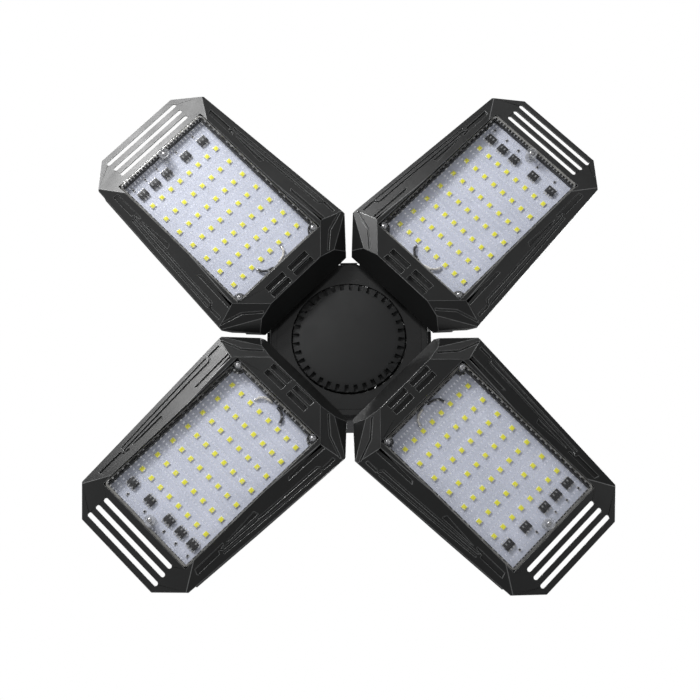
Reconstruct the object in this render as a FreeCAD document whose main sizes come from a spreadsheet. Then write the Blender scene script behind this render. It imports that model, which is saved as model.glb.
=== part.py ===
# Four-wing foldable ceiling light: a hub with a screw base on top and four
# hinged light panels round it.
#
# Frame: +Z up, millimetres.  The origin is the centre of the shoulder plane of
# the screw base, where its threaded shell leaves the collar.  The panels hang
# below it and shine down.
#
# Each wing is designed once, in a frame of its own: x runs outward from the hub
# axis, y sideways, z up, with z = 0 on the tops of the light chips.  The wing is
# then tilted about its hinge axis, turned to its azimuth and lowered to its
# height, four times.
import FreeCAD, Part
import math
import os
import Sketcher

V = FreeCAD.Vector
doc = FreeCAD.newDocument("FourWingLight")
sheet = doc.addObject("Spreadsheet::Sheet", "Dimensions")

# alias, value, what it is
TABLE = [
    ("chip_plane", -60.0, "height of the light chips' tops below the base shoulder"),
    ("hinge_reach", 28.5, "hinge axis, distance from the hub axis"),
    ("hinge_rise", 12.5, "hinge axis, height above the chip plane"),
    ("barrel_radius", 3.5, "hinge barrel and lugs, outside"),
    ("barrel_half", 7.6, "hinge barrel, half length"),
    ("bore_radius", 1.55, "hinge barrel, bore"),
    ("pin_radius", 1.5, "hinge pin"),
    ("lug_start", 8.0, "hinge lug, inner face"),
    ("lug_end", 12.5, "hinge lug, outer face"),
    ("washer_start", 7.62, "friction washer, inner face"),
    ("washer_gauge", 0.36, "friction washer, thickness"),
    ("washer_radius", 3.1, "friction washer, outside"),
    ("tilt_fl", 2.725, "front left wing, tilt below level at rest"),
    ("tilt_fr", -0.763, "front right wing"),
    ("tilt_rl", 3.253, "rear left wing"),
    ("tilt_rr", -2.951, "rear right wing"),
    ("tip_reach", 147.2, "wing outline, outer edge"),
    ("tip_half", 22.9, "wing outline, outer edge half width"),
    ("shoulder_reach", 135.8, "wing outline, outer shoulder"),
    ("shoulder_half", 35.0, "wing outline, outer shoulder half width"),
    ("corner_reach", 44.1, "wing outline, widest corner"),
    ("corner_half", 41.1, "wing outline, widest half width"),
    ("root_reach", 29.2, "wing outline, inner edge"),
    ("root_half", 27.2, "wing outline, inner edge half width"),
    ("frame_back", 3.0, "frame, flat back above the chip plane"),
    ("apron_back", 5.0, "frame, back of the inner apron"),
    ("window_inner", 46.9, "window, inner edge"),
    ("window_outer", 129.7, "window, outer edge"),
    ("window_half", 26.9, "window, half width"),
    ("window_round", 2.0, "window, corner radius"),
    ("lens_gap", 0.15, "lens to window, gap all round"),
    ("lens_front", 4.4, "lens, outer face below the chip plane"),
    ("lens_gauge", 2.0, "lens, thickness"),
    ("boss_radius", 1.6, "inner lens screw bosses, outside"),
    ("boss_outer", 2.7, "outer lens screw boss, outside"),
    ("boss_front", 6.0, "lens screw boss, top below the chip plane"),
    ("board_inner", 47.8, "light board, inner edge"),
    ("board_outer", 129.0, "light board, outer edge"),
    ("board_half", 26.2, "light board, half width"),
    ("board_gauge", 1.2, "light board, thickness"),
    ("chip_height", 0.7, "light chip, height"),
    ("chip_along", 2.5, "light chip, size along the wing"),
    ("chip_across", 2.3, "light chip, size across the wing"),
    ("chip_pitch_across", 6.0, "light chips, pitch across the wing"),
    ("chip_pitch_along", 9.348, "light chips, pitch along the wing"),
    ("chip_first", 56.511, "light chips, first row"),
    ("chip_shift", -0.252, "light chips, shift of the grid across"),
    ("seal_wall", 0.8, "lens seal, width"),
    ("slot_width", 2.0, "outer flange slots, width"),
    ("flange_gauge", 1.0, "outer flange, thickness"),
    ("housing_start", 33.0, "rear housing, inner end"),
    ("housing_end", 131.0, "rear housing, outer end"),
    ("housing_back", 9.0, "rear housing, back above the chip plane"),
    ("floor_back", 5.0, "rear housing, floor between the fins"),
    ("pocket_half", 25.4, "rear housing, fin bay half width"),
    ("fin_gauge", 1.6, "fin, thickness"),
    ("fin_pitch", 5.2, "fin, pitch"),
    ("fin_top", 13.0, "fin, height at the inner end"),
    ("cap_disc", 22.05, "centre cap, flat disc radius"),
    ("cap_rim", 26.7, "centre cap, rim radius"),
    ("cap_barrel", 24.4, "centre cap, barrel radius"),
    ("cap_face", -54.8, "centre cap, face height"),
    ("cap_shoulder", -53.4, "centre cap, outer edge of the sloping rim"),
    ("cap_step", -51.4, "centre cap, back of the rim"),
    ("hub_face", -46.4, "hub face, height"),
    ("hub_flat", 26.3, "hub octagon, flats facing the wings"),
    ("hub_diag", 32.8, "hub octagon, flats between the wings"),
    ("hub_split", -40.0, "lower housing, top"),
    ("deck_face", -52.2, "hub deck around the cap, face height"),
    ("deck_back", -51.3, "hub deck, back"),
    ("deck_slope", 0.08, "hub deck, rise outward for each mm"),
    ("deck_flat", 31.3, "hub deck and corners, flats facing the wings"),
    ("deck_hole", 27.3, "hub deck, opening around the cap"),
    ("ledge_face", -51.4, "hub corners, ledge outside the deck"),
    ("corner_reach_hub", 39.25, "hub corners, reach on the diagonals"),
    ("pillar_top", -20.0, "hub corner pillars, top"),
    ("seal_top", -39.2, "hub seal, top"),
    ("upper_base_half", 24.5, "upper housing, half size at its base"),
    ("upper_top_half", 20.0, "upper housing, half size at its top"),
    ("upper_top", -14.0, "upper housing, top"),
    ("wall_gauge", 2.0, "hub walls"),
    ("collar_low", 17.0, "collar, lower radius"),
    ("collar_high", 15.0, "collar, upper radius"),
    ("skirt_radius", 13.3, "screw shell, plain skirt radius"),
    ("skirt_length", 4.5, "screw shell, plain skirt length"),
    ("crest_radius", 13.1, "screw thread, crest radius"),
    ("valley_radius", 11.9, "screw thread, valley radius"),
    ("thread_pitch", 3.6, "screw thread, pitch"),
    ("shell_gauge", 0.6, "screw shell, thickness"),
    ("contact_top", 26.6, "centre contact, top"),
]
for i, (alias, value, note) in enumerate(TABLE, start=1):
    sheet.set("A%d" % i, alias)
    sheet.set("B%d" % i, str(value))
    sheet.set("C%d" % i, note)
    sheet.setAlias("B%d" % i, alias)
doc.recompute()


class Dim:
    """A size with its value and the expression that binds it to the sheet."""

    def __init__(self, value, text):
        self.value = float(value)
        self.text = text

    def __add__(self, o):
        o = dim(o)
        return Dim(self.value + o.value, "(%s + %s)" % (self.text, o.text))

    def __radd__(self, o):
        return dim(o) + self

    def __sub__(self, o):
        o = dim(o)
        return Dim(self.value - o.value, "(%s - %s)" % (self.text, o.text))

    def __rsub__(self, o):
        return dim(o) - self

    def __mul__(self, o):
        o = dim(o)
        return Dim(self.value * o.value, "(%s * %s)" % (self.text, o.text))

    def __rmul__(self, o):
        return dim(o) * self

    def __neg__(self):
        return Dim(-self.value, "(-1 * %s)" % self.text)


def dim(x):
    if isinstance(x, Dim):
        return x
    return Dim(float(x), "(%.6f)" % float(x))


def d(alias):
    return Dim(float(sheet.get(alias)), "Dimensions." + alias)


def bind(obj, prop, size, unit="mm"):
    """Set a property and bind it to the sheet when the size comes from there."""
    size = dim(size)
    if "Dimensions." in size.text:
        obj.setExpression(prop, size.text + (" * 1 " + unit if unit else ""))
    elif "." not in prop:
        setattr(obj, prop, size.value)


def place(obj, x=0, y=0, z=0, rot=None):
    p = [dim(x), dim(y), dim(z)]
    obj.Placement = FreeCAD.Placement(V(*[q.value for q in p]), rot or FreeCAD.Rotation())
    for axis, q in zip("xyz", p):
        if "Dimensions." in q.text:
            obj.setExpression("Placement.Base." + axis, q.text + " * 1 mm")
    return obj


def box(name, x0, x1, y0, y1, z0, z1):
    o = doc.addObject("Part::Box", name)
    for prop, a, b in (("Length", x0, x1), ("Width", y0, y1), ("Height", z0, z1)):
        bind(o, prop, dim(b) - dim(a))
    return place(o, x0, y0, z0)


def cyl(name, radius, length, x=0, y=0, z=0, axis="z"):
    o = doc.addObject("Part::Cylinder", name)
    bind(o, "Radius", radius)
    bind(o, "Height", length)
    rot = {"z": FreeCAD.Rotation(), "y": FreeCAD.Rotation(V(1, 0, 0), -90), "x": FreeCAD.Rotation(V(0, 1, 0), 90)}[axis]
    return place(o, x, y, z, rot)


def fuse(name, parts):
    o = doc.addObject("Part::MultiFuse", name)
    o.Shapes = parts
    return o


def cut(name, base, tool):
    o = doc.addObject("Part::Cut", name)
    o.Base = base
    o.Tool = tool
    return o


def group(name, parts):
    o = doc.addObject("Part::Compound", name)
    o.Links = parts
    return o


def bind_point(sk, geo, pos, p):
    """Fix a sketch point at a bound distance from the sketch's origin."""
    for kind, axis, q in (("DistanceX", -2, dim(p[0])), ("DistanceY", -1, dim(p[1]))):
        if abs(q.value) < 1e-9:
            sk.addConstraint(Sketcher.Constraint("PointOnObject", geo, pos, axis))
        else:
            n = sk.addConstraint(Sketcher.Constraint(kind, -1, 1, geo, pos, q.value))
            if "Dimensions." in q.text:
                sk.setExpression("Constraints[%d]" % n, q.text + " * 1 mm")


def poly(sk, points, fixed=True):
    vals = [V(dim(p[0]).value, dim(p[1]).value, 0) for p in points]
    n = len(vals)
    ids = [sk.addGeometry(Part.LineSegment(vals[i], vals[(i + 1) % n]), False) for i in range(n)]
    for i in range(n):
        sk.addConstraint(Sketcher.Constraint("Coincident", ids[i], 2, ids[(i + 1) % n], 1))
    if fixed:
        for i in range(n):
            bind_point(sk, ids[i], 1, points[i])
    return ids


def circle(sk, x, y, radius):
    x, y, radius = dim(x), dim(y), dim(radius)
    g = sk.addGeometry(Part.Circle(V(x.value, y.value, 0), V(0, 0, 1), radius.value), False)
    bind_point(sk, g, 3, (x, y))
    n = sk.addConstraint(Sketcher.Constraint("Radius", g, radius.value))
    if "Dimensions." in radius.text:
        sk.setExpression("Constraints[%d]" % n, radius.text + " * 1 mm")
    return g


def round_slot(sk, x, half, width):
    """A slot across the wing with round ends."""
    h, q = half - width / 2.0, width / 2.0
    a, b = V(x - q, -h, 0), V(x + q, -h, 0)
    c, e = V(x + q, h, 0), V(x - q, h, 0)
    ids = [sk.addGeometry(Part.Arc(a, V(x, -half, 0), b), False),
           sk.addGeometry(Part.LineSegment(b, c), False),
           sk.addGeometry(Part.Arc(c, V(x, half, 0), e), False),
           sk.addGeometry(Part.LineSegment(e, a), False)]
    return ids


def loose_sketch(name):
    return doc.addObject("Sketcher::SketchObject", name)


def extrude(name, sk, z0, z1):
    o = doc.addObject("Part::Extrusion", name)
    o.Base = sk
    o.DirMode = "Custom"
    o.Dir = V(0, 0, 1)
    o.Solid = True
    o.FaceMakerClass = "Part::FaceMakerBullseye"
    bind(o, "LengthFwd", dim(z1) - dim(z0))
    place(o, 0, 0, z0)
    return o


def plane_of(body, role):
    for f in body.Origin.OriginFeatures:
        if f.Role == role:
            return f
    raise RuntimeError("no plane " + role)


def new_body(name):
    b = doc.addObject("PartDesign::Body", name)
    b.Label = name
    return b


def body_sketch(body, name, role="XY_Plane", offset=None):
    sk = body.newObject("Sketcher::SketchObject", name)
    sk.AttachmentSupport = [(plane_of(body, role), "")]
    sk.MapMode = "FlatFace"
    if offset is not None:
        offset = dim(offset)
        sk.AttachmentOffset = FreeCAD.Placement(V(0, 0, offset.value), FreeCAD.Rotation())
        if "Dimensions." in offset.text:
            sk.setExpression("AttachmentOffset.Base.z", offset.text + " * 1 mm")
    return sk


def pad(body, name, sk, length):
    o = body.newObject("PartDesign::Pad", name)
    o.Profile = sk
    bind(o, "Length", length)
    return o


def pocket_up(body, name, sk, length):
    """Cut from the sketch plane towards +z."""
    before = body.Shape.Volume
    o = body.newObject("PartDesign::Pocket", name)
    o.Profile = sk
    bind(o, "Length", length)
    o.Reversed = True
    doc.recompute()
    if not body.Shape.Volume < before - 1e-3:
        raise RuntimeError(name + " removes nothing")
    return o


def spin(body, name, sk):
    o = body.newObject("PartDesign::Revolution", name)
    o.Profile = sk
    o.ReferenceAxis = (sk, ["V_Axis"])
    o.Angle = 360.0
    return o


def turned(name, points):
    """A turned piece: the profile in the XZ plane goes round the Z axis."""
    b = new_body(name)
    sk = body_sketch(b, name + "_profile", "XZ_Plane")
    poly(sk, points)
    spin(b, name + "_turn", sk)
    doc.recompute()
    return b


def half_space(name, a, b, c, x0=85.0, y0=0.0, lift=0.0):
    """A large block on the outer side of the sloping front plane
    depth = a + b x + c y, where depth is measured down from the chip plane."""
    n = V(-b, -c, -1.0)
    n.normalize()
    rot = FreeCAD.Rotation(V(0, 0, 1), n)
    p = V(x0, y0, -(a + b * x0 + c * y0) + lift)
    o = doc.addObject("Part::Box", name)
    o.Length, o.Width, o.Height = 400.0, 400.0, 80.0
    o.Placement = FreeCAD.Placement(p + rot.multVec(V(-200, -200, 0)), rot)
    return o


def block_beyond(name, p, n):
    """A large block on the far side of the plane through p with normal n."""
    n = V(*n)
    n.normalize()
    rot = FreeCAD.Rotation(V(0, 0, 1), n)
    o = doc.addObject("Part::Box", name)
    o.Length, o.Width, o.Height = 400.0, 400.0, 80.0
    o.Placement = FreeCAD.Placement(V(*p) + rot.multVec(V(-200, -200, 0)), rot)
    return o


# ---------------------------------------------------------------- wing frame
tip_r, tip_h = d("tip_reach"), d("tip_half")
sho_r, sho_h = d("shoulder_reach"), d("shoulder_half")
cor_r, cor_h = d("corner_reach"), d("corner_half")
roo_r, roo_h = d("root_reach"), d("root_half")

sk = loose_sketch("frame_outline")
poly(sk, [(roo_r, -roo_h), (cor_r, -cor_h), (sho_r, -sho_h), (tip_r, -tip_h),
          (tip_r, tip_h), (sho_r, sho_h), (cor_r, cor_h), (roo_r, roo_h)])
outline = extrude("frame_blank", sk, -6.5, d("apron_back"))

R2 = math.sqrt(2.0)
cutters = [
    half_space("front_side_a", 18.795, -0.0275, -0.375, 85, 32),
    half_space("front_side_b", 18.795, -0.0275, 0.375, 85, -32),
    half_space("front_flange", 37.67, -0.26, 0.0, 135, 0),
    half_space("front_chamfer_a", 0.828, 0.29204, -0.29204, 45, 28),
    half_space("front_chamfer_b", 0.828, 0.29204, 0.29204, 45, -28),
    half_space("root_chamfer_a", -10.39, 0.8563, -0.6286, 32, 27),
    half_space("root_chamfer_b", -10.39, 0.8563, 0.6286, 32, -27),
    half_space("root_wall", -56.68, 1.77, 0.0, 33, 0),
    # mitres: they let the four raised wings meet as a box
    block_beyond("mitre_a", (85, 40.7, 0), (0, 1, 1)),
    block_beyond("mitre_b", (85, -40.7, 0), (0, -1, 1)),
]
trim = fuse("frame_trim", cutters)
back_step = box("frame_back_step", 36.0, 160.0, -60.0, 60.0, d("frame_back"), 12.0)
# the outer flange is an even thin plate: the room behind it
fgauge = float(sheet.get("flange_gauge"))
flange_room = cut("frame_flange_room", box("frame_flange_block", 131.6, 160.0, -60.0, 60.0, -8.0, 12.0), fuse("frame_flange_plate", [
    half_space("flange_plate_a", 37.67, -0.26, 0.0, 135, 0, fgauge),
    half_space("flange_plate_b", 18.795, -0.0275, -0.375, 85, 32, fgauge),
    half_space("flange_plate_c", 18.795, -0.0275, 0.375, 85, -32, fgauge)]))
envelope = cut("frame_envelope", cut("frame_shell", outline, trim), fuse("frame_back_room", [back_step, flange_room]))

# engraved lines and recesses of the frame's front, as outlines in plan; they
# are cut to an even depth below the sloping front
LINES = []
for sgn in (1.0, -1.0):
    def m(pts):
        q = [(x, sgn * y) for x, y in pts]
        return q if sgn > 0 else q[::-1]
    # chevron groove along the root corner
    LINES.append(m([(45.6, 39.6), (42.05, 29.45), (35.35, 21.75), (36.0, 21.2), (42.85, 29.1), (46.35, 39.35)]))
    # inset strip beside the widest corner
    LINES.append(m([(48.3, 38.45), (48.35, 37.1), (54.9, 37.1), (54.9, 38.25)]))
    # line along the raised strip, with its end notch
    LINES.append(m([(55.6, 37.9), (55.9, 36.9), (56.9, 35.75), (72.0, 35.0), (90.0, 33.75), (112.6, 32.35),
                    (113.5, 31.2), (113.0, 31.0), (112.2, 31.75), (90.0, 33.05), (72.0, 34.3), (56.6, 35.0),
                    (55.2, 36.5), (54.95, 37.9)]))
    # thin outer line
    LINES.append(m([(56.5, 38.25), (75.0, 36.95), (96.0, 35.4), (113.0, 33.95), (113.0, 33.35), (96.0, 34.8),
                    (75.0, 36.35), (56.5, 37.65)]))
    # tapered panel near the root
    LINES.append(m([(48.4, 31.8), (48.5, 29.2), (69.0, 29.6), (70.3, 30.8)]))
    # long tapered triangle with its wedge
    LINES.append(m([(90.2, 31.9), (91.0, 29.8), (108.5, 31.0), (107.0, 31.35)]))
    # short panel near the outer end
    LINES.append(m([(127.8, 32.3), (127.0, 29.9), (110.3, 30.2), (110.8, 31.0), (114.2, 31.4), (114.6, 32.6)]))
sk = loose_sketch("frame_lines")
for pts in LINES:
    poly(sk, pts, fixed=False)
line_prisms = extrude("frame_line_prisms", sk, -8.0, 5.0)
shallow = group("frame_shallow", [envelope])
shallow.Placement = FreeCAD.Placement(V(0, 0, 0.8), FreeCAD.Rotation())
line_tool = cut("frame_line_tool", line_prisms, shallow)

# grille behind the root edge: two bays of two grooves, 1.9 deep
sk = loose_sketch("frame_grille")
for a, b in ((1.7, 13.0), (-13.0, -1.7)):
    for r0, r1 in ((36.7, 39.2), (40.5, 43.1)):
        poly(sk, [(r0, a), (r1, a), (r1, b), (r0, b)], fixed=False)
grille_prisms = extrude("frame_grille_prisms", sk, -8.0, -4.4)

# window and the three open slots of the outer flange
sk = loose_sketch("frame_openings")
wi, wo, wh = d("window_inner"), d("window_outer"), d("window_half")
poly(sk, [(wi, -wh), (wo, -wh), (wo, wh), (wi, wh)])
for x, half in ((143.2, 22.6), (138.4, 22.2), (133.8, 21.8)):
    round_slot(sk, x, half, float(sheet.get("slot_width")))
openings = extrude("frame_opening_prisms", sk, -12.0, 12.0)
# blind holes for the housing screws
screw_spots = [(52.0, 29.0), (52.0, -29.0), (124.0, 29.0), (124.0, -29.0)]
screw_holes = [cyl("frame_hole_%d" % i, 1.1, 5.0, x, y, -1.0) for i, (x, y) in enumerate(screw_spots)]
frame_tools = fuse("frame_tools", [openings, grille_prisms] + screw_holes)
frame_a = cut("wing_frame_a", envelope, line_tool)
wing_frame = cut("wing_frame", frame_a, frame_tools)

# ------------------------------------------------------------- rear housing
hs, he, hb = d("housing_start"), d("housing_end"), d("housing_back")
sk = loose_sketch("housing_outline")
poly(sk, [(hs, -28.76), (43.86, -39.6), (he, -33.82), (he, 33.82), (43.86, 39.6), (hs, 28.76)])
h_block = extrude("housing_block", sk, d("frame_back"), hb)
h_trim = fuse("housing_trim", [
    block_beyond("housing_mitre_a", (85, 40.5, 0), (0, 1, 1)),
    block_beyond("housing_mitre_b", (85, -40.5, 0), (0, -1, 1)),
    box("housing_apron_room", 20.0, 36.3, -60.0, 60.0, -5.0, d("apron_back") + 0.15),
    box("housing_bay", 38.0, 128.5, -d("pocket_half"), d("pocket_half"), d("floor_back"), 20.0),
])
h_shell = cut("housing_shell", h_block, h_trim)
pedestal = box("housing_pedestal", 47.6, 129.2, -26.4, 26.4, d("board_gauge") + d("chip_height"), 4.0)
fins = []
sk = loose_sketch("housing_fin_plan")
fg, fp = float(sheet.get("fin_gauge")), float(sheet.get("fin_pitch"))
for k in range(-4, 5):
    y = k * fp
    x0, x1 = (46.0, 126.5) if abs(k) < 4 else (50.0, 120.0)
    poly(sk, [(x0, y - fg / 2), (x1, y - fg / 2), (x1, y + fg / 2), (x0, y + fg / 2)], fixed=False)
fin_block = extrude("housing_fin_block", sk, 4.0, d("fin_top"))
fin_cap = block_beyond("housing_fin_cap", (46.0, 0, 12.9), (0.025, 0, 1.0))
fin_set = cut("housing_fins", fin_block, fin_cap)
web = fuse("housing_web", [
    box("housing_web_neck", 28.5, 46.5, -d("barrel_half"), d("barrel_half"), 9.3, 13.3),
    box("housing_web_heel", 33.4, 37.4, -d("barrel_half"), d("barrel_half"), 5.6, 13.3),
    box("housing_web_root", 36.8, 46.5, -d("barrel_half"), d("barrel_half"), 4.5, 13.3)])
web_cap = block_beyond("housing_web_cap", (38.0, 0, 13.0), (0.35, 0, 1.0))
web_piece = cut("housing_web_piece", web, web_cap)
barrel = cyl("housing_barrel", d("barrel_radius"), d("barrel_half") * 2, d("hinge_reach"), -d("barrel_half"), d("hinge_rise"), "y")
h_union = fuse("housing_union", [h_shell, pedestal, fin_set, web_piece, barrel])
wire_y = (-2.2, 2.0)
h_holes = [cyl("housing_bore", d("bore_radius"), 20.0, d("hinge_reach"), -10.0, d("hinge_rise"), "y")]
for i, (x, y) in enumerate(screw_spots):
    h_holes.append(cyl("housing_hole_%d" % i, 1.1, 8.0, x, y, 1.5))
    h_holes.append(cyl("housing_well_%d" % i, 2.2, 8.0, x, y, 6.4))
lens_spots = [(126.3, -0.1), (48.75, 24.55), (48.75, -24.55)]
for i, (x, y) in enumerate(lens_spots):
    h_holes.append(cyl("housing_lens_hole_%d" % i, 0.75, 3.0, x, y, 1.4))
for i, y in enumerate(wire_y):
    h_holes.append(cyl("housing_wire_drop_%d" % i, 0.75, 6.2, 49.2, y, 1.0))
    h_holes.append(cyl("housing_wire_run_%d" % i, 0.75, 13.5, 34.0, y, 7.2, "x"))
wing_housing = cut("wing_rear_housing", h_union, fuse("housing_holes", h_holes))

# -------------------------------------------------------------------- lens
lg = d("lens_gap")
lens_body = new_body("wing_lens")
sk = body_sketch(lens_body, "lens_plan", "XY_Plane", -d("lens_front"))
poly(sk, [(wi + lg, -(wh - lg)), (wo - lg, -(wh - lg)), (wo - lg, wh - lg), (wi + lg, wh - lg)])
pad(lens_body, "lens_plate", sk, d("lens_gauge"))
doc.recompute()
sk = body_sketch(lens_body, "lens_boss_plan", "XY_Plane", -d("boss_front"))
for i, (x, y) in enumerate(lens_spots):
    circle(sk, x, y, d("boss_radius") if i else d("boss_outer"))
pad(lens_body, "lens_bosses", sk, d("boss_front") + d("chip_height"))
doc.recompute()
sk = body_sketch(lens_body, "lens_hole_plan", "XY_Plane", -d("boss_front") - 0.1)
for x, y in lens_spots:
    circle(sk, x, y, 0.75)
pocket_up(lens_body, "lens_holes", sk, 12.0)
sk = body_sketch(lens_body, "lens_sink_plan", "XY_Plane", -d("boss_front") - 0.1)
for i, (x, y) in enumerate(lens_spots):
    circle(sk, x, y, 1.25 if i else 2.1)
pocket_up(lens_body, "lens_sinks", sk, 1.0)

# ------------------------------------------------------------------- board
board_top = d("chip_height")
board_body = new_body("wing_board")
sk = body_sketch(board_body, "board_plan", "XY_Plane", board_top)
bi, bo, bh = d("board_inner"), d("board_outer"), d("board_half")
poly(sk, [(bi, -bh), (bo, -bh), (bo, bh), (bi, bh)])
for x, y in lens_spots:
    circle(sk, x, y, 0.75)
for y in wire_y:
    circle(sk, 49.2, y, 0.75)
pad(board_body, "board_plate", sk, d("board_gauge"))

# ------------------------------------------- light chips on one wing, 7 rows
cl, cw, ch = d("chip_along"), d("chip_across"), d("chip_height")
chips = doc.addObject("Part::Feature", "wing_leds")
solids = []
for j in range(7):
    for i in range(8):
        x = float(sheet.get("chip_first")) + j * float(sheet.get("chip_pitch_along"))
        y = (i - 3.5) * float(sheet.get("chip_pitch_across")) + float(sheet.get("chip_shift"))
        solids.append(Part.makeBox(cl.value, cw.value, ch.value, V(x - cl.value / 2, y - cw.value / 2, 0)))
chips.Shape = Part.makeCompound(solids)

# ---------------------------------- current regulators at the board's far end
reg_parts = []
for i, y in enumerate((18.9, 7.6, -5.05, -12.75, -20.5)):
    reg_parts.append(box("regulator_%d" % i, 117.95, 121.85, y - 2.45, y + 2.45, -0.75, board_top))
for i, y in enumerate((16.95, 5.65, -7.0, -14.7, -22.45)):
    reg_parts.append(box("chip_part_%d" % i, 124.2, 125.8, y - 0.45, y + 0.45, 0.1, board_top))
wing_regs = group("wing_driver_ics", reg_parts)

# -------------------------------------------------------------- lens screws
ls = []
for i, (x, y) in enumerate(lens_spots):
    ls.append(fuse("lens_screw_%d" % i, [cyl("lens_screw_head_%d" % i, 1.15, 0.85, x, y, -5.95),
                                         cyl("lens_screw_shank_%d" % i, 0.72, 9.2, x, y, -5.2)]))
wing_lens_screws = group("wing_lens_screws", ls)

# --------------------------------------------------------------------- seal
sw = d("seal_wall")
seal_outer = box("seal_outer", bi, bo, -bh, bh, -d("lens_front") + d("lens_gauge"), board_top)
seal_inner = box("seal_inner", bi + sw, bo - sw, -(bh - sw), bh - sw, -5.0, 5.0)
seal_band = cut("seal_band", seal_outer, seal_inner)
# the band loops round the inside of the two inner screw bosses
seal_loops = []
for i, (x, y) in enumerate(lens_spots[1:]):
    loop = doc.addObject("Part::Common", "seal_loop_%d" % i)
    loop.Base = cyl("seal_loop_disc_%d" % i, 2.85, 10.0, x, y, -5.0)
    loop.Tool = box("seal_loop_room_%d" % i, bi, bo, -bh, bh, -d("lens_front") + d("lens_gauge"), board_top)
    seal_loops.append(loop)
seal_solid = fuse("seal_union", [seal_band] + seal_loops)
wing_seal = cut("wing_seal", seal_solid, fuse("seal_tools", [
    cyl("seal_round_%d" % i, 1.98 if i else 2.8, 10.0, x, y, -5.0) for i, (x, y) in enumerate(lens_spots)]))

# ------------------------------------------------------------- lead wires
def wire(points, radius, bend):
    """A round wire through straight runs joined by tangent arcs."""
    p = [V(*q) for q in points]
    edges, start = [], p[0]
    for i in range(1, len(p) - 1):
        a = (p[i - 1] - p[i])
        b = (p[i + 1] - p[i])
        a.normalize()
        b.normalize()
        half = a.getAngle(b) / 2.0
        cutoff = bend / math.tan(half)
        t0, t1 = p[i] + a * cutoff, p[i] + b * cutoff
        bis = a + b
        bis.normalize()
        centre = p[i] + bis * (bend / math.sin(half))
        mid = centre - bis * bend
        edges.append(Part.LineSegment(start, t0).toShape())
        edges.append(Part.Arc(t0, mid, t1).toShape())
        start = t1
    edges.append(Part.LineSegment(start, p[-1]).toShape())
    path = Part.Wire(edges)
    first = p[1] - p[0]
    section = Part.Wire([Part.Circle(p[0], first, radius).toShape()])
    return path.makePipeShell([section], True, False)


wing_wires = doc.addObject("Part::Feature", "wing_lead_wires")
wing_wires.Shape = Part.makeCompound([
    wire([(53.6, math.copysign(7.9, y), 0.05), (51.8, math.copysign(7.4, y), -0.45), (49.9, math.copysign(5.2, y), -0.45),
          (49.2, y, -0.2), (49.2, y, 7.2), (34.6, y, 7.2)], 0.6, 0.75)
    for y in wire_y])

# ---------------------------------------------------------- housing screws
hsl = []
for i, (x, y) in enumerate(screw_spots):
    hsl.append(fuse("housing_screw_%d" % i, [cyl("housing_screw_head_%d" % i, 2.1, 1.6, x, y, 6.4),
                                             cyl("housing_screw_shank_%d" % i, 1.08, 7.3, x, y, -0.8)]))
wing_housing_screws = group("wing_housing_screws", hsl)

# ------------------------------------------- hinge pin and friction washers
pin_body = new_body("wing_hinge_pin")
sk = body_sketch(pin_body, "pin_plan", "XZ_Plane")
circle(sk, d("hinge_reach"), d("hinge_rise"), d("pin_radius"))
o = pad(pin_body, "pin_rod", sk, d("lug_end") * 2)
o.Midplane = True
washers = []
for i, y in enumerate((d("washer_start"), -(d("washer_start") + d("washer_gauge")))):
    ring = cyl("washer_ring_%d" % i, d("washer_radius"), d("washer_gauge"), d("hinge_reach"), y, d("hinge_rise"), "y")
    hole = cyl("washer_hole_%d" % i, d("pin_radius") + 0.02, 30.0, d("hinge_reach"), -15.0, d("hinge_rise"), "y")
    washers.append(cut("washer_%d" % i, ring, hole))
wing_washers = group("wing_friction_washers", washers)
doc.recompute()

# ------------------------------------------------------ the hub, from the cap up
disc, rim, capb = d("cap_disc"), d("cap_rim"), d("cap_barrel")
face, shoulder, step, hubf = d("cap_face"), d("cap_shoulder"), d("cap_step"), d("hub_face")
cap = turned("centre_cap", [(0, face), (disc, face), (rim, shoulder), (rim, step), (capb, step), (capb, hubf),
                            (capb - 1.8, hubf), (capb - 1.8, face + 2.2), (0, face + 2.2)])
sk = body_sketch(cap, "cap_notch_plan", "XY_Plane", face - 1.0)
poly(sk, [(23.6, -0.85), (28.0, -0.95), (28.0, 0.95), (23.6, 0.85)], fixed=False)
notch = pocket_up(cap, "cap_notch", sk, 3.2)
pat = cap.newObject("PartDesign::PolarPattern", "cap_notches")
pat.Originals = [notch]
pat.Axis = (sk, ["N_Axis"])
pat.Angle = 360.0
pat.Occurrences = 36
cap.Tip = pat
doc.recompute()
cap.Placement = FreeCAD.Placement(V(0, 0, 0), FreeCAD.Rotation(V(0, 0, 1), 2.7))

# lower housing: octagonal tray with the hinge lugs, the corner blocks and the deck
hf, hd, hsplit = d("hub_flat"), d("hub_diag"), d("hub_split")
oct_y = 20.1
sk = loose_sketch("hub_octagon")
poly(sk, [(hf, -oct_y), (hf, oct_y), (oct_y, hf), (-oct_y, hf), (-hf, oct_y), (-hf, -oct_y), (-oct_y, -hf), (oct_y, -hf)])
octagon = extrude("hub_octagon_block", sk, hubf, hsplit)
octagon.Placement = FreeCAD.Placement(V(0, 0, float(sheet.get("hub_face"))), FreeCAD.Rotation(V(0, 0, 1), 45.0))
octagon.setExpression("Placement.Base.z", "Dimensions.hub_face * 1 mm")
low_cut = []
zc = d("chip_plane") + d("hinge_rise")
for k, az in enumerate((45, 135, -135, -45)):
    rot = FreeCAD.Rotation(V(0, 0, 1), az)
    # notch for the hinge barrel
    n1 = box("hub_notch_%d" % k, 24.7, 40.0, -14.0, 14.0, 0, 14.0)
    n1.Placement = FreeCAD.Placement(rot.multVec(V(24.7, -14.0, -50.0)), rot)
    low_cut.append(n1)
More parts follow.
